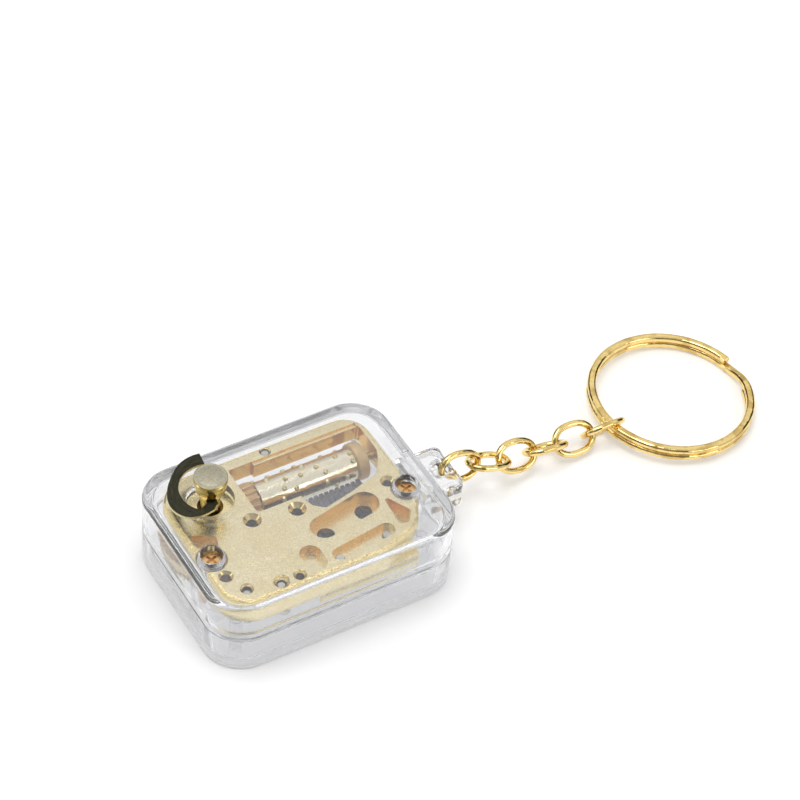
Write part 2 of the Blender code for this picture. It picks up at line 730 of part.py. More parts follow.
def make_barrel(brass, steel, plastic):
    gear = spur_gear(
        "barrel_gear",
        BARREL_GEAR_TEETH,
        SPUR_MODULE,
        BARREL_GEAR_LOW,
        BARREL_GEAR_HIGH,
        FIRST_ANGLE,
        brass,
    )
    cut(gear, rod("barrel_gear_bore", 1.2, 1, 4, segments=16))
    place(gear, WINDING_X, WINDING_Y, 0)
    gear.modifiers[0].object.location = gear.location

    wall, top = BARREL_RADIUS - 0.5, 5.3
    profile = [
        (1.5, top),
        (BARREL_RADIUS, top),
        (BARREL_RADIUS, BARREL_GEAR_HIGH + GAP),
        (wall, BARREL_GEAR_HIGH + GAP),
        (wall, top - 0.4),
        (1.5, top - 0.4),
    ]
    place(turned("spring_barrel", profile, brass, 28), WINDING_X, WINDING_Y, 0)
    make_crown_gear(plastic)
    make_mainspring(steel)


def make_crown_gear(plastic):
    """A ring whose teeth stand up from its face and turn the drum's gear."""
    inner, outer = 5.75, 6.9
    base, root = 5.55, 5.8
    shape = bmesh.new()
    rows = []
    step = 360 / CROWN_TEETH
    for tooth in range(CROWN_TEETH):
        middle = tooth * step
        for offset, height in ((-0.25, root), (-0.13, CROWN_TOP), (0.13, CROWN_TOP), (0.25, root)):
            angle = middle + offset * step
            corners = [(inner, base), (outer, base), (outer, height), (inner, height)]
            rows.append([shape.verts.new((*on_circle(0, 0, r, angle), z)) for r, z in corners])
    for here, there in zip(rows, rows[1:] + rows[:1]):
        for k in range(4):
            shape.faces.new((here[k], here[(k + 1) % 4], there[(k + 1) % 4], there[k]))
    place(make_object("crown_gear", shape, plastic), WINDING_X, WINDING_Y, 0)


def make_mainspring(steel):
    """A flat spiral strip between the arbor and the barrel's wall."""
    turns, steps_per_turn, strip = 3.0, 16, 0.25
    start, end = 1.5, BARREL_RADIUS - 1.1
    count = int(turns * steps_per_turn)
    shape = bmesh.new()
    rows = []
    for step in range(count + 1):
        share = step / count
        angle = 360 * turns * share
        radius = start + (end - start) * share
        corners = [(radius, 3.3), (radius + strip, 3.3), (radius + strip, 4.6), (radius, 4.6)]
        rows.append([shape.verts.new((*on_circle(0, 0, r, angle), z)) for r, z in corners])
    for here, there in zip(rows, rows[1:]):
        for k in range(4):
            shape.faces.new((here[k], here[(k + 1) % 4], there[(k + 1) % 4], there[k]))
    shape.faces.new(rows[0])
    shape.faces.new(reversed(rows[-1]))
    place(make_object("mainspring", shape, steel), WINDING_X, WINDING_Y, 0)


# ---------------------------------------------------------------- drum


def drum_pins():
    """Pins on the note tracks, spread round the drum by a fixed turn from each to the next."""
    shape = bmesh.new()
    count, turn, track_step = 30, 137.5, 7
    length = DRUM_PIN_REACH + 0.3
    middle = DRUM_RADIUS + DRUM_PIN_REACH - length / 2
    for index in range(count):
        track = (index * track_step) % NOTES
        x = FIRST_NOTE_X + track * NOTE_PITCH
        round_drum = Matrix.Rotation(math.radians(index * turn), 4, "X")
        bmesh.ops.create_cone(
            shape,
            cap_ends=True,
            segments=5,
            radius1=0.24,
            radius2=0.16,
            depth=length,
            matrix=round_drum @ Matrix.Translation((x, 0, middle)),
        )
    return make_object("drum_pins", shape)


def make_drum(steel, gold, plastic):
    across = (0, 90, 0)
    half = (DRUM_RIGHT - DRUM_LEFT) / 2
    middle = (DRUM_RIGHT + DRUM_LEFT) / 2
    profile = [
        (DRUM_SHAFT_RADIUS + 0.1, half),
        (DRUM_RADIUS, half),
        (DRUM_RADIUS, -half),
        (DRUM_SHAFT_RADIUS + 0.1, -half),
    ]
    drum = place(turned("drum", profile, steel, 28), middle, DRUM_Y, DRUM_Z, across)
    pins = drum_pins()
    join(drum, place(pins, 0, DRUM_Y, DRUM_Z))

    outline = gear_outline(
        DRUM_GEAR_TEETH, DRUM_GEAR_RADIUS - 0.6, DRUM_GEAR_RADIUS, 180 / DRUM_GEAR_TEETH, 0.45, 0.22
    )
    gear = slab("drum_gear", outline, -6.0, -4.05, plastic)
    cut(gear, rod("drum_gear_bore", DRUM_SHAFT_RADIUS + 0.1, -8, 0, segments=16))
    place(gear, 0, DRUM_Y, DRUM_Z, across)
    helper = gear.modifiers[0].object
    helper.location, helper.rotation_euler = gear.location, gear.rotation_euler

    bore = DRUM_SHAFT_RADIUS + 0.1
    collar = [(bore, 15.8), (3.0, 15.8), (3.2, 15.6), (3.2, 14.25), (3.0, 14.05), (bore, 14.05)]
    place(turned("drum_collar", collar, gold, 24), 0, DRUM_Y, DRUM_Z, across)
    place(rod("drum_shaft", DRUM_SHAFT_RADIUS, -9.2, 18.2, steel, 16), 0, DRUM_Y, DRUM_Z, across)


# ---------------------------------------------------------------- governor


def make_first_wheel(brass, steel):
    first = FIRST_ANGLE + 180 + 180 / FIRST_PINION_TEETH
    pinion = spur_gear("first_pinion", FIRST_PINION_TEETH, SPUR_MODULE, 2.0, 3.1, first, steel)
    arbor = rod("first_arbor", 0.5, 1.9, 8.9, segments=16)
    join(pinion, place(arbor, FIRST_X, FIRST_Y, 0))
    place(pinion, FIRST_X, FIRST_Y, 0)
    wheel = spur_gear("first_wheel", FIRST_WHEEL_TEETH, FINE_MODULE, 6.9, 7.4, SECOND_ANGLE, brass)
    cut(wheel, place(rod("first_wheel_bore", 0.6, 6, 8, segments=16), FIRST_X, FIRST_Y, 0))
    place(wheel, FIRST_X, FIRST_Y, 0)


def make_second_wheel(brass, steel):
    first = SECOND_ANGLE + 180 + 180 / SECOND_PINION_TEETH
    pinion = spur_gear("second_pinion", SECOND_PINION_TEETH, FINE_MODULE, 6.7, 7.6, first, steel)
    arbor = rod("second_arbor", 0.5, 3.2, 8.9, segments=16)
    join(pinion, place(arbor, SECOND_X, SECOND_Y, 0))
    place(pinion, SECOND_X, SECOND_Y, 0)
    gap_at_worm = -90 + 180 / WORM_WHEEL_TEETH
    low, high = WORM_Z - 0.2, WORM_Z + 0.2
    wheel = spur_gear("worm_wheel", WORM_WHEEL_TEETH, FINE_MODULE, low, high, gap_at_worm, brass)
    cut(wheel, place(rod("worm_wheel_bore", 0.6, 4, 5, segments=16), SECOND_X, SECOND_Y, 0))
    place(wheel, SECOND_X, SECOND_Y, 0)


def make_worm_shaft(steel):
    """A shaft along X with a two-start screw thread opposite the worm wheel."""
    pitch = math.pi * FINE_MODULE
    half, per_pitch, sides = 1.5, 6, 12
    shaft, left, right = 0.4, -15.6 - SECOND_X, -4.2 - SECOND_X
    stations = [(left, False)]
    count = int(2 * half / pitch * per_pitch)
    stations.append((-half - 0.3, False))
    stations += [(-half + 2 * half * k / count, True) for k in range(count + 1)]
    stations += [(half + 0.3, False), (right, False)]
    shape = bmesh.new()
    rows = []
    for x, threaded in stations:
        row = []
        for k in range(sides):
            angle = 2 * math.pi * k / sides
            wave = math.cos(2 * math.pi * x / pitch - WORM_STARTS * angle)
            radius = WORM_MID_RADIUS + WORM_THREAD * wave if threaded else shaft
            row.append(shape.verts.new((x, radius * math.cos(angle), radius * math.sin(angle))))
        rows.append(row)
    for here, there in zip(rows, rows[1:]):
        for k in range(sides):
            shape.faces.new((here[k], here[(k + 1) % sides], there[(k + 1) % sides], there[k]))
    shape.faces.new(rows[0])
    shape.faces.new(reversed(rows[-1]))
    place(make_object("worm_shaft", shape, steel), SECOND_X, WORM_Y, WORM_Z)


def make_fly(brass):
    """Two vanes on a hub, which brake the train by beating the air."""
    hub = turned("fly", [(0.5, 1.6), (0.9, 1.6), (0.9, -1.6), (0.5, -1.6)], brass, 16)
    place(hub, -6.0, WORM_Y, WORM_Z, (0, 90, 0))
    for index, side in enumerate((-1, 1)):
        reach = sorted((side * 0.75, side * 2.1))
        vane = block(f"vane_{index}", (-1.3, 1.3), reach, (-0.15, 0.15))
        join(hub, place(vane, -6.0, WORM_Y, WORM_Z, (30, 0, 0)))


def make_governor_frame(gold):
    outline = rounded_polygon(
        [
            (-16.0, -12.9, 0.8),
            (-4.6, -12.9, 0.8),
            (-4.6, 0.4, 0.8),
            (-8.5, 1.3, 0.8),
            (-14.6, -1.6, 0.8),
            (-14.6, -6.2, 0.3),
            (-16.0, -6.2, 0.3),
        ],
        steps=2,
    )
    frame = slab("governor_frame", outline, FRAME_LOW, FRAME_HIGH, gold)
    for index, left in enumerate((-15.5, -9.2)):
        y_range = (WORM_Y - 0.9, WORM_Y + 0.9)
        leg = block(f"frame_leg_{index}", (left, left + 0.8), y_range, (3.6, FRAME_LOW + 0.3))
        join(frame, leg)
    shaft_bore = rod("worm_bore", 0.5, -20, -7, segments=16)
    cut(frame, place(shaft_bore, 0, WORM_Y, WORM_Z, (0, 90, 0)))
    for index, (x, y) in enumerate(((FIRST_X, FIRST_Y), (SECOND_X, SECOND_Y))):
        cut(frame, place(rod(f"arbor_bore_{index}", 0.6, 8, 10, segments=16), x, y, 0))
    for index, (x, y) in enumerate(GOVERNOR_SCREWS.values()):
        cut(frame, place(rod(f"frame_screw_bore_{index}", 0.75, 8, 10, segments=12), x, y, 0))


# ---------------------------------------------------------------- chain and ring


def link_axes(slope, roll):
    """Unit vectors of a link: along it, across its flat, and out of its flat."""
    lie = Matrix.Rotation(math.radians(CHAIN_YAW), 3, "Z") @ Matrix.Rotation(math.radians(slope), 3, "Y")
    turn = lie @ Matrix.Rotation(math.radians(roll), 3, "X")
    return turn @ Vector((1, 0, 0)), turn @ Vector((0, 1, 0)), turn @ Vector((0, 0, 1))


def link_points(steps=9):
    """Middle line of an oval link, long along X, centred on the origin."""
    radius = LINK_WIDTH / 2 - WIRE_RADIUS
    reach = LINK_LENGTH / 2 - WIRE_RADIUS - radius
    points = []
    for side, start in ((1, -90), (-1, 90)):
        for step in range(steps + 1):
            x, y = on_circle(side * reach, 0, radius, start + 180 * step / steps)
            points.append((x, y, 0))
    return points


def make_chain(gold):
    """Links from the lug to the key ring, each in the end of the last. Returns the last bend's middle."""
    bend = LINK_LENGTH / 2 - WIRE_RADIUS
    straight = bend - (LINK_WIDTH / 2 - WIRE_RADIUS)
    inside = 2 * WIRE_RADIUS + GAP
    end, last = None, None
    for number, (slope, roll) in enumerate(zip(LINK_SLOPES, LINK_ROLLS), start=1):
        along, across, out = link_axes(slope, roll)
        if number == 1:
            centre = Vector((FIRST_ARC_X, 0, FIRST_ARC_Z)) + along * straight
        else:
            centre = end - (along + last).normalized() * inside + along * bend
        link = wire(f"chain_link_{number}", link_points(), WIRE_RADIUS, gold)
        turn = Matrix((along, across, out)).transposed().to_4x4()
        link.matrix_world = Matrix.Translation(centre * MM) @ turn
        end, last = centre + along * bend, along
    return end


def make_key_ring(gold, end):
    """Two coils of flat wire that step from the low level to the high one between the two ends."""
    steps_per_turn, turns = 32, 2
    level = (RING_WIRE_HEIGHT + RING_COIL_GAP) / 2
    half_width, half_height, ease = RING_WIRE_WIDTH / 2, RING_WIRE_HEIGHT / 2, 0.3
    section = [
        (half_width, -half_height + ease),
        (half_width, half_height - ease),
        (half_width - ease, half_height),
        (-half_width + ease, half_height),
        (-half_width, half_height - ease),
        (-half_width, -half_height + ease),
        (-half_width + ease, -half_height),
        (half_width - ease, -half_height),
    ]
    shape = bmesh.new()
    rows = []
    count = steps_per_turn * turns
    for step in range(count + 1):
        travel = (360 * turns - RING_END_GAP) * step / count
        share = min(max((travel - 360 + RING_END_GAP) / RING_END_GAP, 0.0), 1.0)
        height = level * (2 * (3 * share**2 - 2 * share**3) - 1)
        angle = RING_LOW_END - travel
        ring = [(*on_circle(0, 0, RING_RADIUS + r, angle), height + z) for r, z in section]
        rows.append([shape.verts.new(point) for point in ring])
    sides = len(section)
    for here, there in zip(rows, rows[1:]):
        for k in range(sides):
            shape.faces.new((here[k], here[(k + 1) % sides], there[(k + 1) % sides], there[k]))
    shape.faces.new(rows[0])
    shape.faces.new(reversed(rows[-1]))
    ring = make_object("key_ring", shape, gold)
    held = end - Vector((WIRE_RADIUS + RING_PLAY + RING_WIRE_WIDTH / 2, 0, 0))
    tilt = Matrix.Rotation(math.radians(RING_TILT), 4, "Y")
    bearing = Vector((*on_circle(0, 0, RING_RADIUS, RING_BEARING), 0))
    ring.matrix_world = Matrix.Translation((held + tilt @ bearing) * MM) @ tilt


def main():
    clear_scene()
    clear = material("clear_acrylic", (0.95, 0.96, 0.97), 0.05, 0.0, 0.9)
    gold = material("gold_plate", (0.86, 0.74, 0.45), 0.3, 1.0)
    polished = material("polished_gold", (0.93, 0.76, 0.38), 0.12, 1.0)
    steel = material("spring_steel", (0.45, 0.46, 0.5), 0.35, 1.0)
    brass = material("turned_brass", (0.72, 0.62, 0.38), 0.3, 1.0)
    drum_plate = material("drum_plate", (0.9, 0.86, 0.72), 0.3, 1.0)
    black = material("black_steel", (0.04, 0.04, 0.035), 0.5, 0.6)
    plastic = material("brown_plastic", (0.45, 0.3, 0.16), 0.5, 0.0)

    make_lower_case(clear)
    make_upper_case(clear)
    make_case_screws(gold)
    make_bedplate(gold)
    make_rear_screw(steel)
    make_bearing_caps(gold)
    make_comb(steel)
    for name, (x, y) in COMB_SCREWS.items():
        make_cheese_head_screw(name, x, y, COMB_TOP - COMB_THICKNESS - 0.1, 11.6, 0.65, steel)
    make_winding_post(brass)
    make_winding_lever(black)
    make_ratchet(brass)
    make_click(steel)
    make_barrel(brass, steel, plastic)
    make_drum(drum_plate, gold, plastic)
    make_first_wheel(brass, steel)
    make_second_wheel(brass, steel)
    make_worm_shaft(steel)
    make_fly(brass)
    make_governor_frame(gold)
    for name, (x, y) in GOVERNOR_SCREWS.items():
        make_cheese_head_screw(name, x, y, FRAME_LOW - 0.1, 11.6, 0.6, steel)
    make_key_ring(polished, make_chain(polished))


main()
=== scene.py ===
import math

import bmesh
import bpy
from mathutils import Matrix, Vector

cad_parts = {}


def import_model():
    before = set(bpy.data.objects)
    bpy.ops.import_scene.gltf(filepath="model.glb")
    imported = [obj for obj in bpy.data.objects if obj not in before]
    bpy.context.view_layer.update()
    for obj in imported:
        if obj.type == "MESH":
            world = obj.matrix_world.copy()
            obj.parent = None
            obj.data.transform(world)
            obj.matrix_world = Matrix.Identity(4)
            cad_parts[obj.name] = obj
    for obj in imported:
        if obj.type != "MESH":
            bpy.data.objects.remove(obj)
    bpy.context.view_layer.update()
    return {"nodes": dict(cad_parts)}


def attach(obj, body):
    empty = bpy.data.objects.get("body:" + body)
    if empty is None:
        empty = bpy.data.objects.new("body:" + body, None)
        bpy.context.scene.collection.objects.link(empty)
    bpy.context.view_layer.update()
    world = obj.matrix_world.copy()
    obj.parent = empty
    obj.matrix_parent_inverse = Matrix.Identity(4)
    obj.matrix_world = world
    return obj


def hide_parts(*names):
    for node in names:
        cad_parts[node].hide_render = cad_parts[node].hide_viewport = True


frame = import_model()
cad = frame["nodes"]

MM = 0.001

# Driving sizes and places in millimetres. They follow the CAD pieces, apart from the comb's teeth,
# the drum's pins and the small bevels, which are finer here.
CASE_LENGTH = 44.0
CASE_WIDTH = 32.8
CASE_HEIGHT = 14.35
CASE_CORNER = 6.6
WALL = 1.6
LIP = 0.65  # how far the upper shell's step stands in from its side
SEAM_LOW = 7.0  # top of the lower shell's side
SEAM_HIGH = 7.3  # underside of the upper shell's side
SEAM_BEVEL = 0.12
LUG_TIP_X = 28.6
LUG_HALF_WIDTH = 4.75
LUG_HOLE_X = 26.5
CHEEK_INSIDE = 2.2
BOSS_RADIUS = 2.3
PLATE_TOP = 12.5
PLATE_BOTTOM = 9.4
ABOVE_PLATE = 13.5  # cutters end here, clear of the plate
BELOW_PLATE = 8.0
WINDING_X, WINDING_Y = -12.05, 7.15
CROSS_BORE_Z = 17.6
CROSS_BORE_TURN = -22
LEVER_ARM_ANGLE = -113
LEVER_HALF_WIDTH = 0.85
LEVER_INNER_RADIUS = 5.05
LEVER_REACH = 3.3
DRUM_X, DRUM_Y, DRUM_Z = 5.0, 7.15, 9.15
DRUM_RADIUS = 2.72
DRUM_HALF_LENGTH = 8.75
NOTES = 18
NOTE_PITCH = 0.97
FIRST_NOTE_X = -3.25
HIDDEN_PINS = 34
COMB_BACK = -9.2
COMB_FRONT = -13.0
COMB_TIP_Y = 4.1
TOOTH_WIDTH = 0.82
TIP_HALF_WIDTH = 0.34
WIRE_RADIUS = 0.575
LINK_REACH = 3.675  # from a link's centre to the middle of its end
LINK_HALF_WIDTH = 2.475
LINK_INSIDE = 1.45  # between the middles of two links' ends
RING_RADIUS = 13.75
RING_HALF_WIDTH = 0.75
RING_HALF_HEIGHT = 0.56
RING_COIL_GAP = 0.15
RING_PLAY = 0.85
RING_LOW_END = -17
RING_END_GAP = 28.0

# ------------------------------------------------------------------ mesh helpers (millimetres)


def on_circle(x, y, radius, degrees):
    angle = math.radians(degrees)
    return (x + radius * math.cos(angle), y + radius * math.sin(angle))


def to_object(name, shape, sharp=35):
    bmesh.ops.recalc_face_normals(shape, faces=shape.faces)
    mesh = bpy.data.meshes.new(name)
    shape.to_mesh(mesh)
    shape.free()
    mesh.transform(Matrix.Scale(MM, 4))
    mesh.shade_smooth()
    mesh.set_sharp_from_angle(angle=math.radians(sharp))
    obj = bpy.data.objects.new(name, mesh)
    bpy.context.scene.collection.objects.link(obj)
    return obj


def move(obj, matrix):
    """Moves the mesh itself, so that the object stays at the origin of the frame."""
    scale = Matrix.Scale(MM, 4)
    obj.data.transform(scale @ matrix @ scale.inverted())
    return obj


def shift(obj, x, y, z):
    return move(obj, Matrix.Translation((x, y, z)))


def turn(degrees, axis):
    return Matrix.Rotation(math.radians(degrees), 4, axis)


def loft(name, sections, sharp=35):
    shape = bmesh.new()
    rings = [[shape.verts.new((x, y, z)) for x, y in outline] for outline, z in sections]
    for low, high in zip(rings, rings[1:]):
        for i in range(len(low)):
            j = (i + 1) % len(low)
            shape.faces.new((low[i], low[j], high[j], high[i]))
    shape.faces.new(reversed(rings[0]))
    shape.faces.new(rings[-1])
    return to_object(name, shape, sharp)


def slab(name, outline, low, high):
    return loft(name, [(outline, low), (outline, high)])


def tube(name, rows, sharp=35, closed=False):
    """Skins rows of points, each row a closed ring, and caps the ends unless the tube is closed."""
    shape = bmesh.new()
    rings = [[shape.verts.new(point) for point in row] for row in rows]
    pairs = list(zip(rings, rings[1:])) + ([(rings[-1], rings[0])] if closed else [])
    for here, there in pairs:
        for i in range(len(here)):
            j = (i + 1) % len(here)
            shape.faces.new((here[i], here[j], there[j], there[i]))
    if not closed:
        shape.faces.new(reversed(rings[0]))
        shape.faces.new(rings[-1])
    return to_object(name, shape, sharp)


def turned(name, profile, segments=64, sharp=35):
    shape = bmesh.new()
    points = [shape.verts.new((radius, 0.0, z)) for radius, z in profile]
    edges = [shape.edges.new(pair) for pair in zip(points, points[1:])]
    if profile[0][0] > 0 and profile[-1][0] > 0:
        edges.append(shape.edges.new((points[-1], points[0])))
    bmesh.ops.spin(
        shape,
        geom=points + edges,
        cent=(0, 0, 0),
        axis=(0, 0, 1),
        angle=2 * math.pi,
        steps=segments,
        use_merge=True,
    )
    bmesh.ops.remove_doubles(shape, verts=shape.verts, dist=1e-4)
    return to_object(name, shape, sharp)


def rod(name, radius, low, high, segments=32):
    return turned(name, [(0, high), (radius, high), (radius, low), (0, low)], segments)


def block(name, x_range, y_range, z_range):
    (x0, x1), (y0, y1) = x_range, y_range
    return slab(name, [(x0, y0), (x1, y0), (x1, y1), (x0, y1)], *z_range)


def rounded_polygon(corners, steps=8):
    points = []
    for i, (x, y, radius) in enumerate(corners):
        here = Vector((x, y))
        before = Vector(corners[i - 1][:2]) - here
        after = Vector(corners[(i + 1) % len(corners)][:2]) - here
        if radius == 0:
            points.append((x, y))
            continue
        half = before.angle(after) / 2
        reach = radius / math.tan(half)
        centre = here + (before.normalized() + after.normalized()).normalized() * radius / math.sin(half)
        start = here + before.normalized() * reach - centre
        end = here + after.normalized() * reach - centre
        sweep = start.angle_signed(end)
        for step in range(steps + 1):
            points.append(tuple(centre + Matrix.Rotation(-sweep * step / steps, 2) @ start))
    return points


def oblong(x0, y0, r0, x1, y1, r1, steps=16):
    along = math.degrees(math.atan2(y1 - y0, x1 - x0))
    points = [on_circle(x1, y1, r1, along - 90 + 180 * k / steps) for k in range(steps + 1)]
    points += [on_circle(x0, y0, r0, along + 90 + 180 * k / steps) for k in range(steps + 1)]
    return points


def settle(obj):
    graph = bpy.context.evaluated_depsgraph_get()
    mesh = bpy.data.meshes.new_from_object(obj.evaluated_get(graph))
    obj.modifiers.clear()
    old = obj.data
    obj.data = mesh
    bpy.data.meshes.remove(old)
    return obj


def combine(obj, others, operation):
    for other in others:
        modifier = obj.modifiers.new("Combine", "BOOLEAN")
        modifier.operation = operation
        modifier.object = other
        modifier.solver = "EXACT"
    settle(obj)
    for other in others:
        bpy.data.objects.remove(other, do_unlink=True)
    obj.data.shade_smooth()
    obj.data.set_sharp_from_angle(angle=math.radians(35))
    return obj


def cut(obj, *others):
    return combine(obj, others, "DIFFERENCE")


def join(obj, *others):
    return combine(obj, others, "UNION")


def soften(obj, width, segments=2, angle=35):
    """Rounds the sharp edges."""
    modifier = obj.modifiers.new("Bevel", "BEVEL")
    modifier.width = width * MM
    modifier.segments = segments
    modifier.limit_method = "ANGLE"
    modifier.angle_limit = math.radians(angle)
    modifier.harden_normals = True
    return obj


# ------------------------------------------------------------------ material helpers


class Look:
    """A Principled material whose textures are laid out in millimetres of the object's own space."""

    def __init__(self, name, colour, roughness, metallic, **inputs):
        self.material = bpy.data.materials.new(name)
        self.material.use_nodes = True
        self.tree = self.material.node_tree
        self.shader = self.tree.nodes["Principled BSDF"]
        self.shader.inputs["Base Color"].default_value = (*colour, 1)
        self.shader.inputs["Roughness"].default_value = roughness
        self.shader.inputs["Metallic"].default_value = metallic
        for key, value in inputs.items():
            self.shader.inputs[key.replace("_", " ")].default_value = value
        coordinates = self.add("ShaderNodeTexCoord")
        scale = self.add("ShaderNodeVectorMath", operation="SCALE")
        scale.inputs["Scale"].default_value = 1000
        self.link(coordinates.outputs["Object"], scale.inputs[0])
        self.space = scale.outputs[0]
        self.height = None

    def add(self, kind, **settings):
        node = self.tree.nodes.new(kind)
        for key, value in settings.items():
            setattr(node, key, value)
        return node

    def link(self, a, b):
        self.tree.links.new(a, b)

    def stretched(self, scale, offset=(0, 0, 0), rotation=(0, 0, 0)):
        node = self.add("ShaderNodeMapping", vector_type="TEXTURE")
        node.inputs["Location"].default_value = offset
        node.inputs["Rotation"].default_value = [math.radians(r) for r in rotation]
        node.inputs["Scale"].default_value = [1 / s for s in scale]
        self.link(self.space, node.inputs["Vector"])
        return node.outputs[0]

    def noise(self, scale, detail=3.0, roughness=0.55, vector=None, distortion=0.0):
        node = self.add("ShaderNodeTexNoise")
        node.inputs["Scale"].default_value = scale
        node.inputs["Detail"].default_value = detail
        node.inputs["Roughness"].default_value = roughness
        node.inputs["Distortion"].default_value = distortion
        self.link(vector or self.space, node.inputs["Vector"])
        return node.outputs["Fac"]

    def cells(self, scale, vector=None):
        node = self.add("ShaderNodeTexVoronoi")
        node.inputs["Scale"].default_value = scale
        self.link(vector or self.space, node.inputs["Vector"])
        return node.outputs["Distance"]

    def span(self, value, a, b, c, d):
        node = self.add("ShaderNodeMapRange")
        for key, number in (("From Min", a), ("From Max", b), ("To Min", c), ("To Max", d)):
            node.inputs[key].default_value = number
        self.link(value, node.inputs["Value"])
        return node.outputs[0]

    def math(self, operation, a, b=None):
        node = self.add("ShaderNodeMath", operation=operation)
        for socket, value in zip(node.inputs, (a, b)):
            if value is None:
                continue
            if isinstance(value, (int, float)):
                socket.default_value = value
            else:
                self.link(value, socket)
        return node.outputs[0]

    def mix(self, factor, a, b):
        node = self.add("ShaderNodeMix", data_type="RGBA")
        self.link(factor, node.inputs[0])
        for socket, value in ((node.inputs[6], a), (node.inputs[7], b)):
            if isinstance(value, tuple):
                socket.default_value = (*value, 1)
            else:
                self.link(value, socket)
        return node.outputs[2]

    def colour(self, socket):
        self.link(socket, self.shader.inputs["Base Color"])

    def rough(self, socket):
        self.link(socket, self.shader.inputs["Roughness"])

    def bump(self, height, distance, strength=1.0):
        """Adds a relief of distance millimetres on top of those before it."""
        node = self.add("ShaderNodeBump")
        node.inputs["Strength"].default_value = strength
        node.inputs["Distance"].default_value = distance * MM
        self.link(height, node.inputs["Height"])
        if self.height:
            self.link(self.height, node.inputs["Normal"])
        self.height = node.outputs[0]
        self.link(self.height, self.shader.inputs["Normal"])

    def polar(self, x, y, across="XY"):
        """A vector (distance from an axis through (x, y), turn about it, place along it), and that place."""
        split = self.add("ShaderNodeSeparateXYZ")
        self.link(self.space, split.inputs[0])
        first, second = (split.outputs["XYZ".index(letter)] for letter in across)
        third = next(split.outputs[i] for i in range(3) if "XYZ"[i] not in across)
        first = self.math("SUBTRACT", first, x)
        second = self.math("SUBTRACT", second, y)
        first_square = self.math("MULTIPLY", first, first)
        second_square = self.math("MULTIPLY", second, second)
        radius = self.math("SQRT", self.math("ADD", first_square, second_square))
        angle = self.math("ARCTAN2", second, first)
        join_up = self.add("ShaderNodeCombineXYZ")
        self.link(radius, join_up.inputs[0])
        self.link(angle, join_up.inputs[1])
        self.link(third, join_up.inputs[2])
        return join_up.outputs[0], third


def weighted(look, vector, scale):
    node = look.add("ShaderNodeVectorMath", operation="MULTIPLY")
    node.inputs[1].default_value = scale
    look.link(vector, node.inputs[0])
    return node.outputs[0]


def metal(name, colour, dark, roughness, grain, grain_size, wear=0.35, scratches=True):
    """A plated or cast metal: uneven colour, fine grain and hairline scratches."""
    look = Look(name, colour, sum(roughness) / 2, 1.0)
    cloud = look.noise(0.35, 4, 0.6)
    fine = look.noise(grain_size, 3, 0.6)
    blend = look.math("ADD", look.math("MULTIPLY", cloud, 0.7), look.math("MULTIPLY", fine, 0.3))
    tone = look.span(blend, 0.35, 0.7, 0, 1)
    look.colour(look.mix(look.math("MULTIPLY", tone, wear), colour, dark))
    look.rough(look.span(look.noise(grain_size * 0.6, 4, 0.65), 0.3, 0.75, roughness[0], roughness[1]))
    look.bump(fine, grain)
    if scratches:
        hair = look.noise(2.0, 2, 0.5, look.stretched((7, 0.25, 7), rotation=(0, 0, 34)))
        look.bump(look.span(hair, 0.62, 0.68, 0, 1), grain * 0.8, 0.5)
    return look


def acrylic(name):
    look = Look(name, (0.985, 0.99, 1.0), 0.015, 0.0, Transmission_Weight=0.95, IOR=1.49)
    smear = look.noise(0.18, 4, 0.6)
    look.rough(look.span(smear, 0.4, 0.75, 0.0, 0.05))
    look.bump(look.noise(0.16, 2, 0.5), 0.10, 0.55)
    fine = look.noise(1.4, 3, 0.6)
    look.bump(fine, 0.004, 0.6)
    return look


def plate_gold():
    look = Look("die_cast_gold", (0.86, 0.74, 0.45), 0.3, 1.0)
    cloud = look.noise(0.22, 4, 0.6)
    fine = look.noise(9, 3, 0.6)
    blend = look.math("ADD", look.math("MULTIPLY", cloud, 0.65), look.math("MULTIPLY", fine, 0.35))
    tone = look.span(blend, 0.35, 0.7, 0, 1)
    pale = look.mix(tone, (0.93, 0.82, 0.53), (0.84, 0.70, 0.38))
    specks = look.span(look.cells(0.9), 0.03, 0.09, 1, 0)
    speck_mask = look.math("MULTIPLY", specks, look.span(look.noise(0.5, 2, 0.5), 0.56, 0.62, 0, 1))
    look.colour(look.mix(speck_mask, pale, (0.42, 0.30, 0.12)))
    look.rough(look.span(look.noise(5, 4, 0.65), 0.3, 0.75, 0.2, 0.38))
    look.bump(fine, 0.008)
    look.bump(look.noise(1.1, 3, 0.6), 0.03, 0.5)
    hair = look.noise(1.6, 2, 0.5, look.stretched((6, 0.2, 6), rotation=(0, 0, 63)))
    look.bump(look.span(hair, 0.63, 0.68, 0, 1), 0.008, 0.5)
    return look


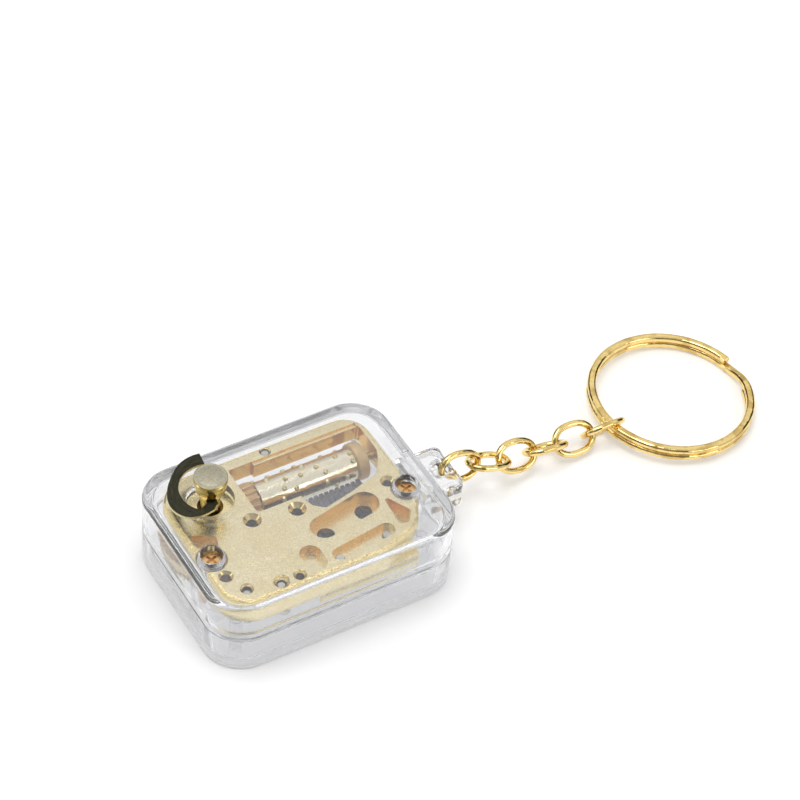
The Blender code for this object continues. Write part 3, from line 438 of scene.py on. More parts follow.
def brushed_post(x, y):
    """Turned brass with the lathe's rings, coarser on the flat top, whose darker, greyer colour is a painted
    reflection.
    """
    look = Look("turned_brass_post", (0.62, 0.52, 0.22), 0.25, 1.0)
    vector, along = look.polar(x, y)
    rings = look.noise(1.0, 3, 0.6, weighted(look, vector, (14.0, 0.25, 14.0)))
    top = look.span(along, 19.47, 19.56, 0, 1)
    side = look.mix(look.span(rings, 0.35, 0.7, 0, 1), (0.90, 0.74, 0.32), (0.60, 0.47, 0.16))
    mottle = look.span(look.noise(3, 5, 0.7), 0.3, 0.7, 0, 1)
    # Painted reflection: the flat top is coloured a darker, greyer khaki, standing for the darker
    # surroundings it mirrors.
    top_painted_reflection = look.mix(mottle, (0.56, 0.53, 0.42), (0.34, 0.31, 0.22))
    look.colour(look.mix(top, side, top_painted_reflection))
    rough = look.add("ShaderNodeMix", data_type="FLOAT")
    look.link(top, rough.inputs[0])
    look.link(look.span(rings, 0.3, 0.7, 0.12, 0.28), rough.inputs[2])
    look.link(look.span(look.noise(6, 4, 0.7), 0.3, 0.7, 0.38, 0.6), rough.inputs[3])
    look.rough(rough.outputs[0])
    look.bump(rings, 0.012)
    look.bump(look.noise(7, 4, 0.7), 0.015, 0.5)
    return look


def black_steel():
    look = Look("blackened_steel", (0.02, 0.02, 0.015), 0.4, 1.0)
    vector = look.polar(WINDING_X, WINDING_Y)[0]
    brush = look.noise(1.0, 4, 0.7, weighted(look, vector, (9.0, 3.0, 4.0)))
    look.colour(look.mix(look.span(brush, 0.35, 0.75, 0, 1), (0.018, 0.018, 0.014), (0.10, 0.095, 0.06)))
    look.rough(look.span(brush, 0.3, 0.7, 0.32, 0.6))
    look.bump(brush, 0.02)
    look.bump(look.noise(8, 3, 0.6), 0.008, 0.5)
    return look


def drum_skin(y, z):
    """Pale plating with streaks drawn along the drum."""
    look = Look("drum_plating", (0.86, 0.82, 0.68), 0.25, 1.0)
    vector = look.polar(y, z, "YZ")[0]
    streaks = look.noise(1.0, 4, 0.65, weighted(look, vector, (1.0, 16.0, 0.35)))
    crumple = look.noise(1.0, 3, 0.6, weighted(look, vector, (1.0, 7.0, 2.4)), 0.4)
    look.colour(look.mix(look.span(streaks, 0.35, 0.7, 0, 1), (0.97, 0.92, 0.74), (0.80, 0.70, 0.46)))
    look.rough(look.span(streaks, 0.3, 0.7, 0.10, 0.26))
    look.bump(streaks, 0.02)
    look.bump(crumple, 0.05, 0.6)
    return look


def acetal(name, colour, dark):
    look = Look(name, colour, 0.4, 0.0, Coat_Weight=0.15)
    look.colour(look.mix(look.noise(1.2, 4, 0.6), colour, dark))
    look.rough(look.span(look.noise(6, 3, 0.6), 0.3, 0.7, 0.3, 0.5))
    look.bump(look.noise(10, 3, 0.6), 0.008)
    return look


def tumbled_gold():
    """Polished gold plate with painted dark reflections in patches."""
    look = Look("tumbled_gold_finish", (0.92, 0.72, 0.32), 0.1, 1.0)
    # Painted reflection: dark brown patches standing for dark surroundings mirrored in the gold.
    painted_dark_reflections = look.span(look.noise(0.4, 2, 0.5, distortion=0.3), 0.5, 0.62, 0, 1)
    fine = look.noise(5, 3, 0.6)
    pale = look.mix(look.span(fine, 0.35, 0.65, 0, 1), (0.97, 0.76, 0.34), (0.86, 0.63, 0.23))
    look.colour(look.mix(look.math("MULTIPLY", painted_dark_reflections, 0.5), pale, (0.50, 0.30, 0.07)))
    look.rough(look.span(look.noise(3, 4, 0.65), 0.3, 0.75, 0.05, 0.16))
    look.bump(fine, 0.004)
    look.bump(look.noise(0.3, 2, 0.5), 0.4, 0.8)
    return look


clear = acrylic("clear_acrylic_finish")
plate = plate_gold()
bright_gold = metal(
    "bright_gold_finish",
    (0.90, 0.70, 0.30),
    (0.68, 0.47, 0.14),
    (0.06, 0.16),
    0.004,
    5,
    0.45,
)
bright_gold.bump(bright_gold.noise(0.22, 1, 0.4), 0.5, 0.8)
chain_gold = tumbled_gold()
copper_gold = metal(
    "copper_gold_finish",
    (0.80, 0.52, 0.27),
    (0.52, 0.28, 0.10),
    (0.15, 0.32),
    0.01,
    6,
    0.6,
)
rough_edge = metal(
    "rough_edge_finish",
    (0.95, 0.78, 0.38),
    (0.80, 0.58, 0.20),
    (0.08, 0.2),
    0.02,
    5,
    0.5,
)
rough_edge.bump(rough_edge.noise(1.6, 3, 0.7), 0.35, 0.9)
# Hole bores: painted shade, a dark brown standing for the shade deep inside the holes.
painted_shade_bore = metal(
    "painted_shade_bore_material",
    (0.20, 0.13, 0.10),
    (0.10, 0.06, 0.05),
    (0.3, 0.5),
    0.01,
    6,
    0.6,
)
# Walls of the openings: painted shade and reflection, a deep, darker amber standing for the shade and
# gold-on-gold reflection in the pockets.
painted_pocket_shade = metal(
    "painted_pocket_shade_material",
    (0.92, 0.55, 0.13),
    (0.70, 0.38, 0.07),
    (0.14, 0.3),
    0.015,
    4,
    0.6,
)
# Dark comb steel: painted shade, a dark grey standing for the plate's shadow over the comb. The mainspring
# uses it too.
comb_steel_painted_shade = metal(
    "comb_steel_painted_shade_material",
    (0.20, 0.20, 0.235),
    (0.10, 0.10, 0.12),
    (0.2, 0.42),
    0.01,
    5,
    0.6,
)
bright_steel = metal(
    "bright_steel_finish",
    (0.66, 0.64, 0.6),
    (0.4, 0.38, 0.33),
    (0.15, 0.32),
    0.008,
    5,
    0.5,
)
brass = metal(
    "train_brass_finish",
    (0.76, 0.62, 0.32),
    (0.52, 0.38, 0.15),
    (0.16, 0.3),
    0.008,
    5,
    0.5,
)
# Pale gold for the drum pins, and painted reflection on the lever's side faces and bevels, standing for the
# gold plate they mirror.
pin_gold_and_painted_edge_reflection = metal(
    "pin_gold_and_lever_edge_painted_reflection",
    (0.95, 0.84, 0.50),
    (0.8, 0.66, 0.32),
    (0.35, 0.5),
    0.008,
    7,
    0.5,
)
post_brass = brushed_post(WINDING_X, WINDING_Y)
black = black_steel()
drum_look = drum_skin(DRUM_Y, DRUM_Z)
tan_acetal = acetal("tan_acetal", (0.93, 0.66, 0.30), (0.82, 0.54, 0.22))


def dress(obj, look, body, slot, *replaced):
    obj.data.materials.clear()
    for one in look if isinstance(look, (list, tuple)) else [look]:
        obj.data.materials.append(one.material)
    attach(obj, body)
    if replaced:
        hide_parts(*replaced)
    return obj


# ------------------------------------------------------------------ clear case


def case_outline(inset, steps=14):
    corner = CASE_CORNER - inset
    points = []
    for quarter, (sign_x, sign_y) in enumerate(((1, 1), (-1, 1), (-1, -1), (1, -1))):
        centre = (sign_x * (CASE_LENGTH / 2 - CASE_CORNER), sign_y * (CASE_WIDTH / 2 - CASE_CORNER))
        for step in range(steps + 1):
            points.append(on_circle(*centre, corner, 90 * (quarter + step / steps)))
    return points


def edge_sections(outer_z, direction, radius=0.8, steps=6):
    sections = []
    for step in range(steps + 1):
        angle = math.radians(90 * step / steps)
        height = outer_z + direction * radius * (1 - math.cos(angle))
        sections.append((case_outline(radius * (1 - math.sin(angle))), height))
    return sections


def inner_sections(floor_z, direction, radius=0.6, steps=4):
    sections = []
    for step in range(steps + 1):
        angle = math.radians(90 * step / steps)
        inset = WALL + radius * (1 - math.cos(angle))
        sections.append((case_outline(inset), floor_z + direction * radius * (1 - math.sin(angle))))
    return sections


# Centres of the case screws and of the pegs in the corners
SCREWS = ((-17.28, -3.31), (17.35, -4.2))
PEGS = ((-17.4, -12.0), (16.4, -11.3), (17.3, 12.0))
COMB_SCREWS = ((1.2, -11.5), (10.15, -10.6))
SIGHT_HOLES = ((2.0, -5.4), (9.7, -3.9))


def lug_outline(y0, y1, r0, r1):
    root = CASE_LENGTH / 2 - WALL / 2
    corners = [(root, y0, 0), (LUG_TIP_X, y0, r0), (LUG_TIP_X, y1, r1), (root, y1, 0)]
    return rounded_polygon(corners, 8)


def lower_shell():
    sections = edge_sections(0, 1)
    seam_steps = (
        (0, SEAM_LOW - SEAM_BEVEL),
        (SEAM_BEVEL, SEAM_LOW),
        (0.95, SEAM_LOW),
        (0.95, 7.85),
        (1.0, 7.9),
        (1.55, 7.9),
        (WALL, 7.85),
    )
    sections += [(case_outline(inset), z) for inset, z in seam_steps]
    sections += inner_sections(1.5, 1)
    shell = loft("clear_lower_shell", sections)
    adds = [
        slab("front_cheek", lug_outline(-LUG_HALF_WIDTH, -CHEEK_INSIDE, 1.3, 0.4), 4.6, SEAM_LOW),
        slab("rear_cheek", lug_outline(CHEEK_INSIDE, LUG_HALF_WIDTH, 0.4, 1.3), 4.6, SEAM_LOW),
    ]
    for index, (x, y) in enumerate(SCREWS):
        adds.append(shift(rod(f"lower_boss_{index}", BOSS_RADIUS, 1.0, 8.7, 48), x, y, 0))
    peg = [(0, 9.1), (0.85, 9.1), (1.0, 8.95), (1.0, 1.0), (0, 1.0)]
    for index, (x, y) in enumerate(PEGS):
        adds.append(shift(turned(f"peg_{index}", peg, 32), x, y, 0))
    join(shell, *adds)
    bores = []
    for index, (x, y) in enumerate(SCREWS):
        bores.append(shift(rod(f"boss_bore_{index}", 1.0, 4.0, 10.0, 32), x, y, 0))
    cut(shell, *bores)
    return soften(shell, 0.1, 2, 50)


def upper_shell():
    sections = edge_sections(CASE_HEIGHT, -1)
    seam_steps = ((0, 7.42), (SEAM_BEVEL, SEAM_HIGH), (LIP, SEAM_HIGH), (LIP, 8.2), (WALL, 8.2))
    sections += [(case_outline(inset), z) for inset, z in seam_steps]
    sections += inner_sections(12.85, -1)
    shell = loft("clear_upper_shell", sections)
    tip = []
    rounding = ((0.25, SEAM_HIGH), (0.06, 7.4), (0, 7.6), (0, 9.0), (0.06, 9.25), (0.25, 9.43), (0.5, 9.5))
    for inset, z in rounding:
        full = lug_outline(-LUG_HALF_WIDTH + inset, LUG_HALF_WIDTH - inset, 1.3, 1.3)
        tip.append(([(min(x, LUG_TIP_X - inset), y) for x, y in full], z))
    adds = [loft("lug_plate", tip)]
    for index, (x, y) in enumerate(SCREWS):
        adds.append(shift(rod(f"upper_boss_{index}", BOSS_RADIUS, 9.0, 13.3, 48), x, y, 0))
    join(shell, *adds)
    holes = []
    bore = [(0, 16), (1.95, 16), (1.95, 14.3), (1.85, 14.2)]
    bore += [(1.85, 12.0), (1.1, 12.0), (1.1, 8.5), (0, 8.5)]
    for index, (x, y) in enumerate(SCREWS):
        holes.append(shift(turned(f"counterbore_{index}", bore, 48), x, y, 0))
    holes.append(shift(rod("post_hole", 3.9, 11.8, 15.4, 64), WINDING_X, WINDING_Y, 0))
    lug_bore = [(0, 10), (1.95, 10), (1.95, 9.5), (1.4, 8.95), (1.4, 6.8), (0, 6.8)]
    holes.append(shift(turned("lug_bore", lug_bore, 40), LUG_HOLE_X, 0, 0))
    cut(shell, *holes)
    return soften(shell, 0.1, 2, 50)


dress(lower_shell(), clear, "case", "clear_acrylic", "lower_case")
dress(upper_shell(), clear, "case", "clear_acrylic", "upper_case")


# ------------------------------------------------------------------ bedplate


# Holes in the bedplate: (x, y, radius, radius at the mouth)
HOLES = (
    (-7.8, 1.0, 0.8, 1.5),
    (-0.3, -0.1, 0.8, 1.5),
    (1.0, 13.1, 0.8, 1.0),
    (-15.2, -11.1, 0.8, 1.1),
    (-9.7, -12.2, 0.8, 1.35),
    (-6.5, -12.3, 0.7, 1.1),
    (-16.9, -7.4, 0.8, 1.2),
    (15.4, -1.5, 0.7, 1.2),
)


def bedplate():
    front = [(-19.1, -14.1, 5.0), (8.2, -14.1, 6.0), (15.4, -11.6, 4.5)]
    back = [(18.5, -6.2, 4.0), (18.5, 14.3, 4.5), (-19.1, 14.3, 6.0)]
    outline = rounded_polygon(front + back, 12)
    shape = bmesh.new()
    underside = shape.faces.new([shape.verts.new((x, y, PLATE_BOTTOM)) for x, y in outline])
    grown = bmesh.ops.extrude_face_region(shape, geom=[underside])
    lifted = [item for item in grown["geom"] if isinstance(item, bmesh.types.BMVert)]
    bmesh.ops.translate(shape, verts=lifted, vec=(0, 0, PLATE_TOP - PLATE_BOTTOM))
    rim = [edge for edge in shape.edges if all(v.co.z > PLATE_TOP - 0.01 for v in edge.verts)]
    bmesh.ops.bevel(shape, geom=rim, offset=0.7, segments=5, profile=0.5, affect="EDGES")
    body = to_object("bedplate_casting", shape)
    left, right, front = -3.9, 13.9, -13.9
    seat = rounded_polygon(
        [(left, front, 0.5), (right, front, 0.5), (right, COMB_BACK, 0.5), (left, COMB_BACK, 0.5)]
    )
    lip = rounded_polygon(
        [(left, front, 0.29), (right, front, 0.29), (right, -13.3, 0.29), (left, -13.3, 0.29)]
    )
    join(body, slab("comb_seat", seat, 8.8, 9.9), slab("comb_lip", lip, 7.6, 9.8))
    window = rounded_polygon(
        [
            (-6.3, 2.0, 0.8),
            (1.5, 2.0, 0),
            (2.2, -0.6, 0.8),
            (3.9, -2.0, 0.8),
            (9.5, -0.8, 3.0),
            (15.1, 0.9, 1.5),
            (17.3, 5.0, 2.0),
            (17.3, 11.4, 0.6),
            (-1.9, 11.4, 0),
            (-1.9, 12.05, 0),
            (-6.3, 12.05, 0.3),
        ],
        8,
    )
    cutters = [slab("window", window, 8.8, ABOVE_PLATE)]
    cutters += [block("window_ledge", (-2.4, 17.0), (10.9, 12.05), (12.15, ABOVE_PLATE))]
    post_bore = rod("post_bore", 2.1, BELOW_PLATE, ABOVE_PLATE, 48)
    cutters += [shift(post_bore, WINDING_X, WINDING_Y, 0)]
    for index, (x, y) in enumerate(SCREWS):
        notch = rod(f"notch_{index}", 2.6, BELOW_PLATE, ABOVE_PLATE, 48)
        cutters.append(shift(notch, x, y, 0))
    for index, (x, y, radius, mouth) in enumerate(HOLES):
        chamfer_top = 12.45
        profile = [
            (0, ABOVE_PLATE),
            (mouth, ABOVE_PLATE),
            (mouth, chamfer_top),
            (radius, chamfer_top - (mouth - radius)),
            (radius, BELOW_PLATE),
            (0, BELOW_PLATE),
        ]
        cutters.append(shift(turned(f"hole_{index}", profile, 36), x, y, 0))
    for index, (x, y) in enumerate(COMB_SCREWS):
        bore = rod(f"comb_bore_{index}", 0.8, BELOW_PLATE, ABOVE_PLATE, 24)
        cutters.append(shift(bore, x, y, 0))
    corner = [(12.6, -10.2, 0.4), (14.2, -10.6, 0.4), (15.7, -8.6, 0.4), (13.1, -3.6, 0.4)]
    side = [(-18.2, -0.3, 0.4), (-15.4, -2.4, 0.5), (-14.4, 0.6, 0.5), (-18.2, 2.6, 0.4)]
    pockets = (
        (oblong(1.6, -5.4, 2.3, 9.8, -3.9, 2.4), 10.4),
        (oblong(1.1, -11.4, 1.25, 10.2, -10.3, 1.35), 11.3),
        (oblong(-3.0, -11.2, 1.75, -3.0, -9.3, 1.75), 10.9),
        (rounded_polygon(corner, 5), 10.6),
        (rounded_polygon(side, 5), 10.6),
    )
    for index, (pocket, low) in enumerate(pockets):
        cutters.append(slab(f"pocket_{index}", pocket, low, ABOVE_PLATE))
    for index, (x, y) in enumerate(SIGHT_HOLES):
        hole = rod(f"sight_hole_{index}", 1.45, BELOW_PLATE, ABOVE_PLATE, 36)
        cutters.append(shift(hole, x, y, 0))
    groove = rod("shaft_groove", 0.7, -10.2, 19.0, 24)
    cutters.append(move(groove, Matrix.Translation((0, DRUM_Y, DRUM_Z)) @ turn(90, "Y")))
    cut(body, *cutters)
    return soften(body, 0.14, 3, 40)


def plated():
    """Gives the chamfers of the holes their brighter plating; the walls of the openings get a painted shade
    of deeper gold and the hole bores a painted dark shade.
    """
    body = bedplate()
    dress(body, (plate, painted_pocket_shade, bright_gold, painted_shade_bore, rough_edge), "case", "gold_plate", "bedplate")
    for face in body.data.polygons:
        x, y, z = face.center / MM
        level = abs(face.normal.z)
        in_hole = any(math.hypot(x - hole[0], y - hole[1]) < hole[2] + 0.1 for hole in HOLES)
        # Walls inside the holes take the painted dark shade.
        if level < 0.3 and in_hole:
            face.material_index = 3
            continue
        outside = x < -18.4 or x > 17.8 or y > 13.6 or y < -10.2 - 0.42 * (8.2 - x if x > 8.2 else 0)
        if 0.3 < level < 0.95 and 11.9 < z < 12.49:
            face.material_index = 2
        # Other walls of the openings take the painted deep-gold shade.
        elif level < 0.3 and not outside and math.hypot(x - WINDING_X, y - WINDING_Y) > 2.3:
            face.material_index = 1
        if outside and level > 0.12 and 11.75 < z < 12.49:
            face.material_index = 4


plated()


# ------------------------------------------------------------------ winding post and lever


def winding_post():
    profile = [
        (0, 19.6),
        (2.2, 19.6),
        (2.3, 19.57),
        (2.4, 19.6),
        (2.56, 19.6),
        (2.66, 19.57),
        (2.72, 19.48),
        (2.72, 19.22),
        (2.64, 19.15),
        (2.64, 19.08),
        (2.72, 19.0),
        (2.72, 18.65),
        (2.7, 18.2),
        (2.63, 17.75),
        (2.55, 17.3),
        (2.45, 16.9),
        (2.35, 16.55),
        (2.2, 16.25),
        (1.9, 15.9),
        (1.75, 15.5),
        (1.75, 15.1),
        (1.6, 14.95),
        (1.6, 9.2),
        (1.1, 9.0),
        (1.1, 5.6),
        (0.9, 5.4),
        (0.9, 2.4),
        (0, 2.4),
    ]
    post = shift(turned("winding_post_turned", profile, 96), WINDING_X, WINDING_Y, 0)
    across = turn(CROSS_BORE_TURN, "Z") @ turn(90, "X")
    bore_place = Matrix.Translation((WINDING_X, WINDING_Y, CROSS_BORE_Z)) @ across
    bore = move(rod("cross_bore", 0.66, -4, 4, 32), bore_place)
    slot_half_width = LEVER_HALF_WIDTH + 0.1
    slot = block("lever_slot", (0.8, 4), (-slot_half_width, slot_half_width), (15.6, 16.25))
    slot_place = Matrix.Translation((WINDING_X, WINDING_Y, 0)) @ turn(LEVER_ARM_ANGLE, "Z")
    cut(post, bore, move(slot, slot_place))
    return soften(post, 0.06, 2, 50)


def lever_points():
    """The sickle's outline: a smooth outer curve through (angle, radius) points, the arm, the inner arc."""
    outer = ((76, 7.45), (100, 7.15), (132, 6.55), (160, 6.85), (180, 7.4), (196, 7.6), (212, 7.3))
    outer += ((226, 6.4), (240, 5.35), (250, 4.75))
    points = []
    for index in range(len(outer) - 1):
        before = outer[max(index - 1, 0)]
        here, there = outer[index], outer[index + 1]
        after = outer[min(index + 2, len(outer) - 1)]
        for step in range(6):
            t = step / 6
            radius = 0.5 * (
                2 * here[1]
                + (there[1] - before[1]) * t
                + (2 * before[1] - 5 * here[1] + 4 * there[1] - after[1]) * t * t
                + (3 * here[1] - before[1] - 3 * there[1] + after[1]) * t * t * t
            )
            points.append(on_circle(0, 0, radius, here[0] + (there[0] - here[0]) * t))
    points.append(on_circle(0, 0, outer[-1][1], outer[-1][0]))
    side = LEVER_HALF_WIDTH
    arm = math.radians(LEVER_ARM_ANGLE)
    along, across = Vector((math.cos(arm), math.sin(arm))), Vector((-math.sin(arm), math.cos(arm)))
    points += [tuple(along * LEVER_REACH + across * side), tuple(along * LEVER_REACH - across * side)]
    first, last, steps = 224, 73, 40
    for step in range(steps + 1):
        points.append(on_circle(0, 0, LEVER_INNER_RADIUS, first - step * (first - last) / steps))
    return points


def winding_lever():
    lever = slab("winding_lever_blade", lever_points(), 16.5, 16.95)
    side = (-LEVER_HALF_WIDTH, LEVER_HALF_WIDTH)
    arm = block("inner_arm", (0.9, 3.7), side, (15.7, 16.15))
    step = block("arm_step", (3.2, 3.8), side, (15.7, 16.95))
    to_arm = turn(LEVER_ARM_ANGLE, "Z")
    join(lever, move(arm, to_arm), move(step, to_arm))
    shift(lever, WINDING_X, WINDING_Y, 0)
    dress(lever, (black, pin_gold_and_painted_edge_reflection), "winding_knob", "black_steel", "winding_lever")
    # Side faces and bevels get the painted reflection of the gold plate; the top and bottom stay black.
    for face in lever.data.polygons:
        face.material_index = 0 if abs(face.normal.z) > 0.7 else 1
    modifier = soften(lever, 0.07, 2, 50).modifiers[-1]
    modifier.material = 1


dress(winding_post(), post_brass, "winding_knob", "turned_brass", "winding_post")
winding_lever()


# ------------------------------------------------------------------ drum


# Pins on the side that shows: (x, degrees round the drum)
PINS = (
    (-0.6, 142),
    (2.2, 142),
    (5.1, 114),
    (7.0, 84),
    (10.8, 96),
    (13.3, 86),
    (13.2, 57),
    (1.3, 83),
    (4.0, 77),
    (8.1, 55),
    (0.5, 54),
    (2.5, 39),
    (0.0, 18),
    (9.7, -12),
    (-1.4, 111),
    (8.0, 20),
    (11.6, 8),
)


def drum():
    half, radius, bore = DRUM_HALF_LENGTH, DRUM_RADIUS, 0.7
    bevel = 0.06
    profile = [(bore, half), (radius - bevel, half), (radius, half - bevel)]
    profile += [(radius, bevel - half), (radius - bevel, -half), (bore, -half)]
    lie = Matrix.Translation((DRUM_X, DRUM_Y, DRUM_Z)) @ turn(90, "Y")
    body = move(turned("pinned_drum", profile, 96), lie)
    dress(body, drum_look, "music_drum", "drum_plate", "drum")
    shape = bmesh.new()
    spots = list(PINS)
    for index in range(HIDDEN_PINS):
        track = index * 7 % NOTES
        spots.append((FIRST_NOTE_X + track * NOTE_PITCH, 150 + index * 137.5 % 160))
    dimpled = [(0, 0.1), (0.1, 0.12), (0.17, 0.28), (0.25, 0.3), (0.33, 0.24)]
    dimpled += [(0.4, 0.06), (0.46, 0), (0.46, -0.2), (0, -0.2)]
    to_skin = Matrix.Translation((0, 0, DRUM_RADIUS))
    for x, angle in spots:
        pin = turned("pin", dimpled, 20)
        move(pin, Matrix.Translation((x, DRUM_Y, DRUM_Z)) @ turn(90 - angle, "X") @ to_skin)
        shape.from_mesh(pin.data)
        bpy.data.objects.remove(pin, do_unlink=True)
    bmesh.ops.scale(shape, verts=shape.verts, vec=(1 / MM, 1 / MM, 1 / MM))
    pins = to_object("drum_pins_domed", shape)
    dress(pins, pin_gold_and_painted_edge_reflection, "music_drum", "drum_plate")


def collar():
    profile = [(0.7, 2.03), (2.95, 2.03), (3.2, 1.8), (3.2, 0.2), (3.0, 0.02), (0.7, 0.02)]
    band = turned("drum_collar_moulded", profile, 96)
    move(band, Matrix.Translation((13.77, DRUM_Y, DRUM_Z)) @ turn(90, "Y"))
    dress(soften(band, 0.06), tan_acetal, "music_drum", "polished_gold", "drum_collar")


def comb():
    """Comb with narrow saw cuts between its eighteen teeth."""
    left, right = FIRST_NOTE_X - NOTE_PITCH / 2, FIRST_NOTE_X + (NOTES - 0.5) * NOTE_PITCH
    half, tip, taper_y = TOOTH_WIDTH / 2, TIP_HALF_WIDTH, 2.2
    points = [(left, COMB_BACK), (left, COMB_FRONT + 1), (left + 1, COMB_FRONT)]
    points += [(right - 1, COMB_FRONT), (right, COMB_FRONT + 1), (right, COMB_BACK)]
    for note in reversed(range(NOTES)):
        x = FIRST_NOTE_X + note * NOTE_PITCH
        root = COMB_BACK + 3.5 * note / NOTES
        points += [(x + half, root), (x + half, taper_y), (x + tip, COMB_TIP_Y)]
        points += [(x - tip, COMB_TIP_Y), (x - half, taper_y), (x - half, root)]
    blade = slab("tuned_comb", points, 7.9, 8.5)
    holes = [shift(rod(f"comb_hole_{i}", 0.85, 7, 10), x, y, 0) for i, (x, y) in enumerate(COMB_SCREWS)]
    cut(blade, *holes)
    # The comb's dark colour is painted shade from the plate above.
    dress(soften(blade, 0.05), comb_steel_painted_shade, "case", "spring_steel", "comb")


drum()
collar()
comb()


# ------------------------------------------------------------------ chain and ring


def link_axes(slope, roll):
    lie = Matrix.Rotation(math.radians(0.7), 3, "Z") @ Matrix.Rotation(math.radians(slope), 3, "Y")
    lie = lie @ Matrix.Rotation(math.radians(roll), 3, "X")
    return lie @ Vector((1, 0, 0)), lie @ Vector((0, 1, 0)), lie @ Vector((0, 0, 1))


def link_rows(power=0.88, steps=64, sides=20):
    """A wire bent into an oval a little squarer than an ellipse."""

    def place_at(angle):
        c, s = math.cos(angle), math.sin(angle)
        x = LINK_REACH * math.copysign(abs(c) ** power, c)
        y = LINK_HALF_WIDTH * math.copysign(abs(s) ** power, s)
        return Vector((x, y, 0))

    path = []
    for step in range(steps):
        angle = 2 * math.pi * (step + 0.5) / steps
        along = (place_at(angle + 0.01) - place_at(angle - 0.01)).normalized()
        path.append((place_at(angle), Vector((along.y, -along.x, 0))))
    rows = []
    for point, out in path:
        row = []
        for k in range(sides):
            angle = 2 * math.pi * k / sides
            toward = out * math.cos(angle) + Vector((0, 0, 1)) * math.sin(angle)
            row.append(tuple(point + toward * WIRE_RADIUS))
        rows.append(row)
    return rows


def chain():
    slopes, rolls = (17, 16, 12, 8, 4, 1), (75, 163, 235, 140, 222, 124)
    end, last = None, None
    for number, (slope, roll) in enumerate(zip(slopes, rolls), start=1):
        along, across, out = link_axes(slope, roll)
        if number == 1:
            centre = Vector((29.2, 0, 8.12)) + along * 1.2
        else:
            centre = end - (along + last).normalized() * LINK_INSIDE + along * LINK_REACH
        link = tube(f"oval_link_{number}", link_rows(), closed=True)
        turned_to = Matrix((along, across, out)).transposed().to_4x4()
        move(link, Matrix.Translation(centre) @ turned_to)
        dress(link, chain_gold, f"link_body_{number}", "polished_gold", f"chain_link_{number}")
        end, last = centre + along * LINK_REACH, along
    return end


def split_ring(end):
    """Two coils of D-section wire that step from the low level to the high one between the two ends."""
    wide, high = RING_HALF_WIDTH, RING_HALF_HEIGHT
    level = (2 * high + RING_COIL_GAP) / 2
    corners = [(-wide, -high, 0.3), (wide, -high, 0.5), (wide, high, 0.55), (-wide, high, 0.5)]
    section = rounded_polygon(corners, 6)
    rows = []
    count, gap = 320, RING_END_GAP
    for step in range(count + 1):
        travel = (720 - gap) * step / count
        share = min(max((travel - 360 + gap) / gap, 0.0), 1.0)
        height = level * (2 * (3 * share**2 - 2 * share**3) - 1)
        angle = RING_LOW_END - travel
        rows.append([(*on_circle(0, 0, RING_RADIUS + r, angle), height + z) for r, z in section])
    ring = tube("split_key_ring", rows)
    held = end - Vector((WIRE_RADIUS + RING_PLAY + RING_HALF_WIDTH, 0, 0))
    tilt = turn(2.8, "Y")
    bearing = Vector((*on_circle(0, 0, RING_RADIUS, 7), 0))
    move(ring, Matrix.Translation(held + tilt @ bearing) @ tilt)
    dress(ring, chain_gold, "ring_body", "polished_gold", "key_ring")


split_ring(chain())


# ------------------------------------------------------------------ CAD pieces that keep their shape

FINISHES = {
    copper_gold: ("case_screw_left", "case_screw_right"),
    plate: ("bearing_cap_left", "bearing_cap_right", "governor_frame"),
    comb_steel_painted_shade: ("mainspring",),
    bright_steel: (
        "comb_screw_left",
        "comb_screw_right",
        "governor_screw_left",
        "governor_screw_right",
        "rear_screw",
        "click",
        "click_screw",
        "drum_shaft",
        "first_pinion",
        "second_pinion",
        "worm_shaft",
    ),
    brass: ("spring_barrel", "barrel_gear", "ratchet_wheel", "first_wheel", "worm_wheel", "fly"),
    tan_acetal: ("drum_gear", "crown_gear"),
}
for look, names in FINISHES.items():
    for name in names:
        node = cad[name]
        node.data.materials.clear()
        node.data.materials.append(look.material)
        weld = node.modifiers.new("Weld", "WELD")
        weld.merge_threshold = 1e-6
        soften(node, 0.04, 2, 40)


# ------------------------------------------------------------------ floor, light and camera


def floor():
    shape = bmesh.new()
    bmesh.ops.create_grid(shape, x_segments=2, y_segments=2, size=1500)
    obj = to_object("floor", shape)
    look = Look("pale_floor", (0.93, 0.93, 0.93), 0.6, 0.0, Emission_Strength=0.2)
    look.shader.inputs["Emission Color"].default_value = (1, 1, 1, 1)
    look.colour(look.mix(look.noise(0.02, 3, 0.5), (0.93, 0.93, 0.93), (0.915, 0.915, 0.92)))
    look.rough(look.span(look.noise(0.1, 3, 0.5), 0.3, 0.7, 0.55, 0.7))
    obj.data.materials.append(look.material)


def area_light(name, place, aim, size, power, colour=(1, 1, 1)):
    data = bpy.data.lights.new(name, "AREA")
    data.shape = "RECTANGLE"
    data.size, data.size_y = size
    data.energy = power
    data.color = colour
    obj = bpy.data.objects.new(name, data)
    bpy.context.scene.collection.objects.link(obj)
    obj.location = place
    obj.rotation_euler = (Vector(aim) - Vector(place)).to_track_quat("-Z", "Y").to_euler()


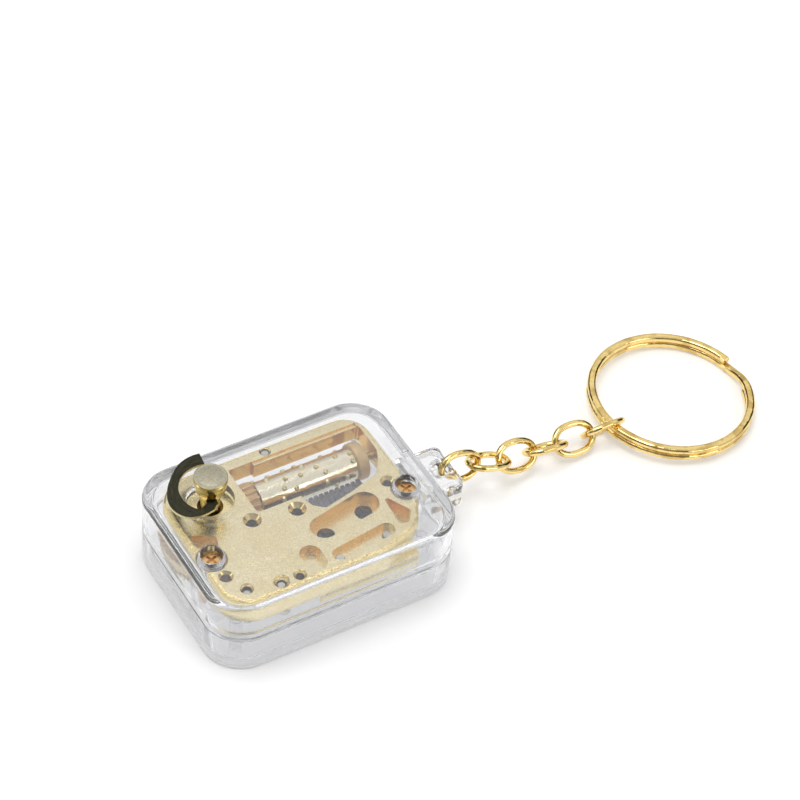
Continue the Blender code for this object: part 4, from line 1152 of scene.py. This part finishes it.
def world():
    """A bright sky that grades with height, dimmed by five soft dark patches."""
    scene = bpy.context.scene
    scene.world = bpy.data.worlds.new("studio")
    scene.world.use_nodes = True
    tree = scene.world.node_tree
    background = tree.nodes["Background"]
    coordinates = tree.nodes.new("ShaderNodeTexCoord")
    split = tree.nodes.new("ShaderNodeSeparateXYZ")
    tree.links.new(coordinates.outputs["Generated"], split.inputs[0])
    ramp = tree.nodes.new("ShaderNodeValToRGB")
    tree.links.new(split.outputs[2], ramp.inputs[0])
    stops = ((0.0, 0.7), (0.15, 0.62), (0.45, 0.62), (0.72, 0.98), (1.0, 0.75))
    elements = ramp.color_ramp.elements
    while len(elements) < len(stops):
        elements.new(0.5)
    for element, (position, value) in zip(elements, stops):
        element.position = position
        element.color = (value, value, value, 1)
    strength = None
    flags = (
        ((-0.45, -0.67, 0.6), 0.6, 0.95, 0.4),
        ((0.95, 0.15, 0.3), 0.90, 0.95, 0.06),
        ((-0.95, -0.15, 0.35), 0.86, 0.97, 0.35),
        ((-0.3, 0.95, 0.25), 0.91, 0.96, 0.06),
        ((-0.1, -0.95, 0.3), 0.93, 0.98, 0.2),
    )
    for direction, edge, middle, level in flags:
        toward = tree.nodes.new("ShaderNodeVectorMath")
        toward.operation = "DOT_PRODUCT"
        toward.inputs[1].default_value = Vector(direction).normalized()
        tree.links.new(coordinates.outputs["Generated"], toward.inputs[0])
        dim = tree.nodes.new("ShaderNodeMapRange")
        dim.interpolation_type = "SMOOTHSTEP"
        for key, number in (("From Min", edge), ("From Max", middle), ("To Min", 1.0), ("To Max", level)):
            dim.inputs[key].default_value = number
        tree.links.new(toward.outputs["Value"], dim.inputs["Value"])
        if strength:
            both = tree.nodes.new("ShaderNodeMath")
            both.operation = "MULTIPLY"
            tree.links.new(strength, both.inputs[0])
            tree.links.new(dim.outputs[0], both.inputs[1])
            strength = both.outputs[0]
        else:
            strength = dim.outputs[0]
    tree.links.new(ramp.outputs[0], background.inputs[0])
    tree.links.new(strength, background.inputs[1])


def camera():
    azimuth, elevation, roll = (math.radians(a) for a in (-33.832, 45.893, 5.048))
    back = Vector(
        (
            math.sin(azimuth) * math.cos(elevation),
            -math.cos(azimuth) * math.cos(elevation),
            math.sin(elevation),
        )
    )
    right = Vector((math.cos(azimuth), math.sin(azimuth), 0))
    up = back.cross(right)
    right, up = right * math.cos(roll) + up * math.sin(roll), up * math.cos(roll) - right * math.sin(roll)
    distance, focal = 0.4728, 2924.0
    across = (295.646 - 400) / focal * distance
    down = -(561.732 - 400) / focal * distance
    data = bpy.data.cameras.new("camera")
    data.sensor_width = 36
    data.lens = focal / 800 * 36
    data.clip_start = 0.01
    obj = bpy.data.objects.new("camera", data)
    bpy.context.scene.collection.objects.link(obj)
    place = back * distance - right * across - up * down
    obj.matrix_world = Matrix.Translation(place) @ Matrix((right, up, back)).transposed().to_4x4()
    bpy.context.scene.camera = obj


floor()
world()
area_light("top_softbox", (-0.05, 0.02, 0.55), (0.02, 0.0, 0.01), (0.3, 0.3), 1.1)
area_light("left_softbox", (-0.5, 0.2, 0.22), (0.0, 0.0, 0.01), (0.15, 0.3), 0.25)
area_light("front_softbox", (0.2, -0.38, 0.2), (0.0, 0.0, 0.01), (0.25, 0.12), 0.3)
camera()
bpy.context.scene.view_settings.view_transform = "Standard"
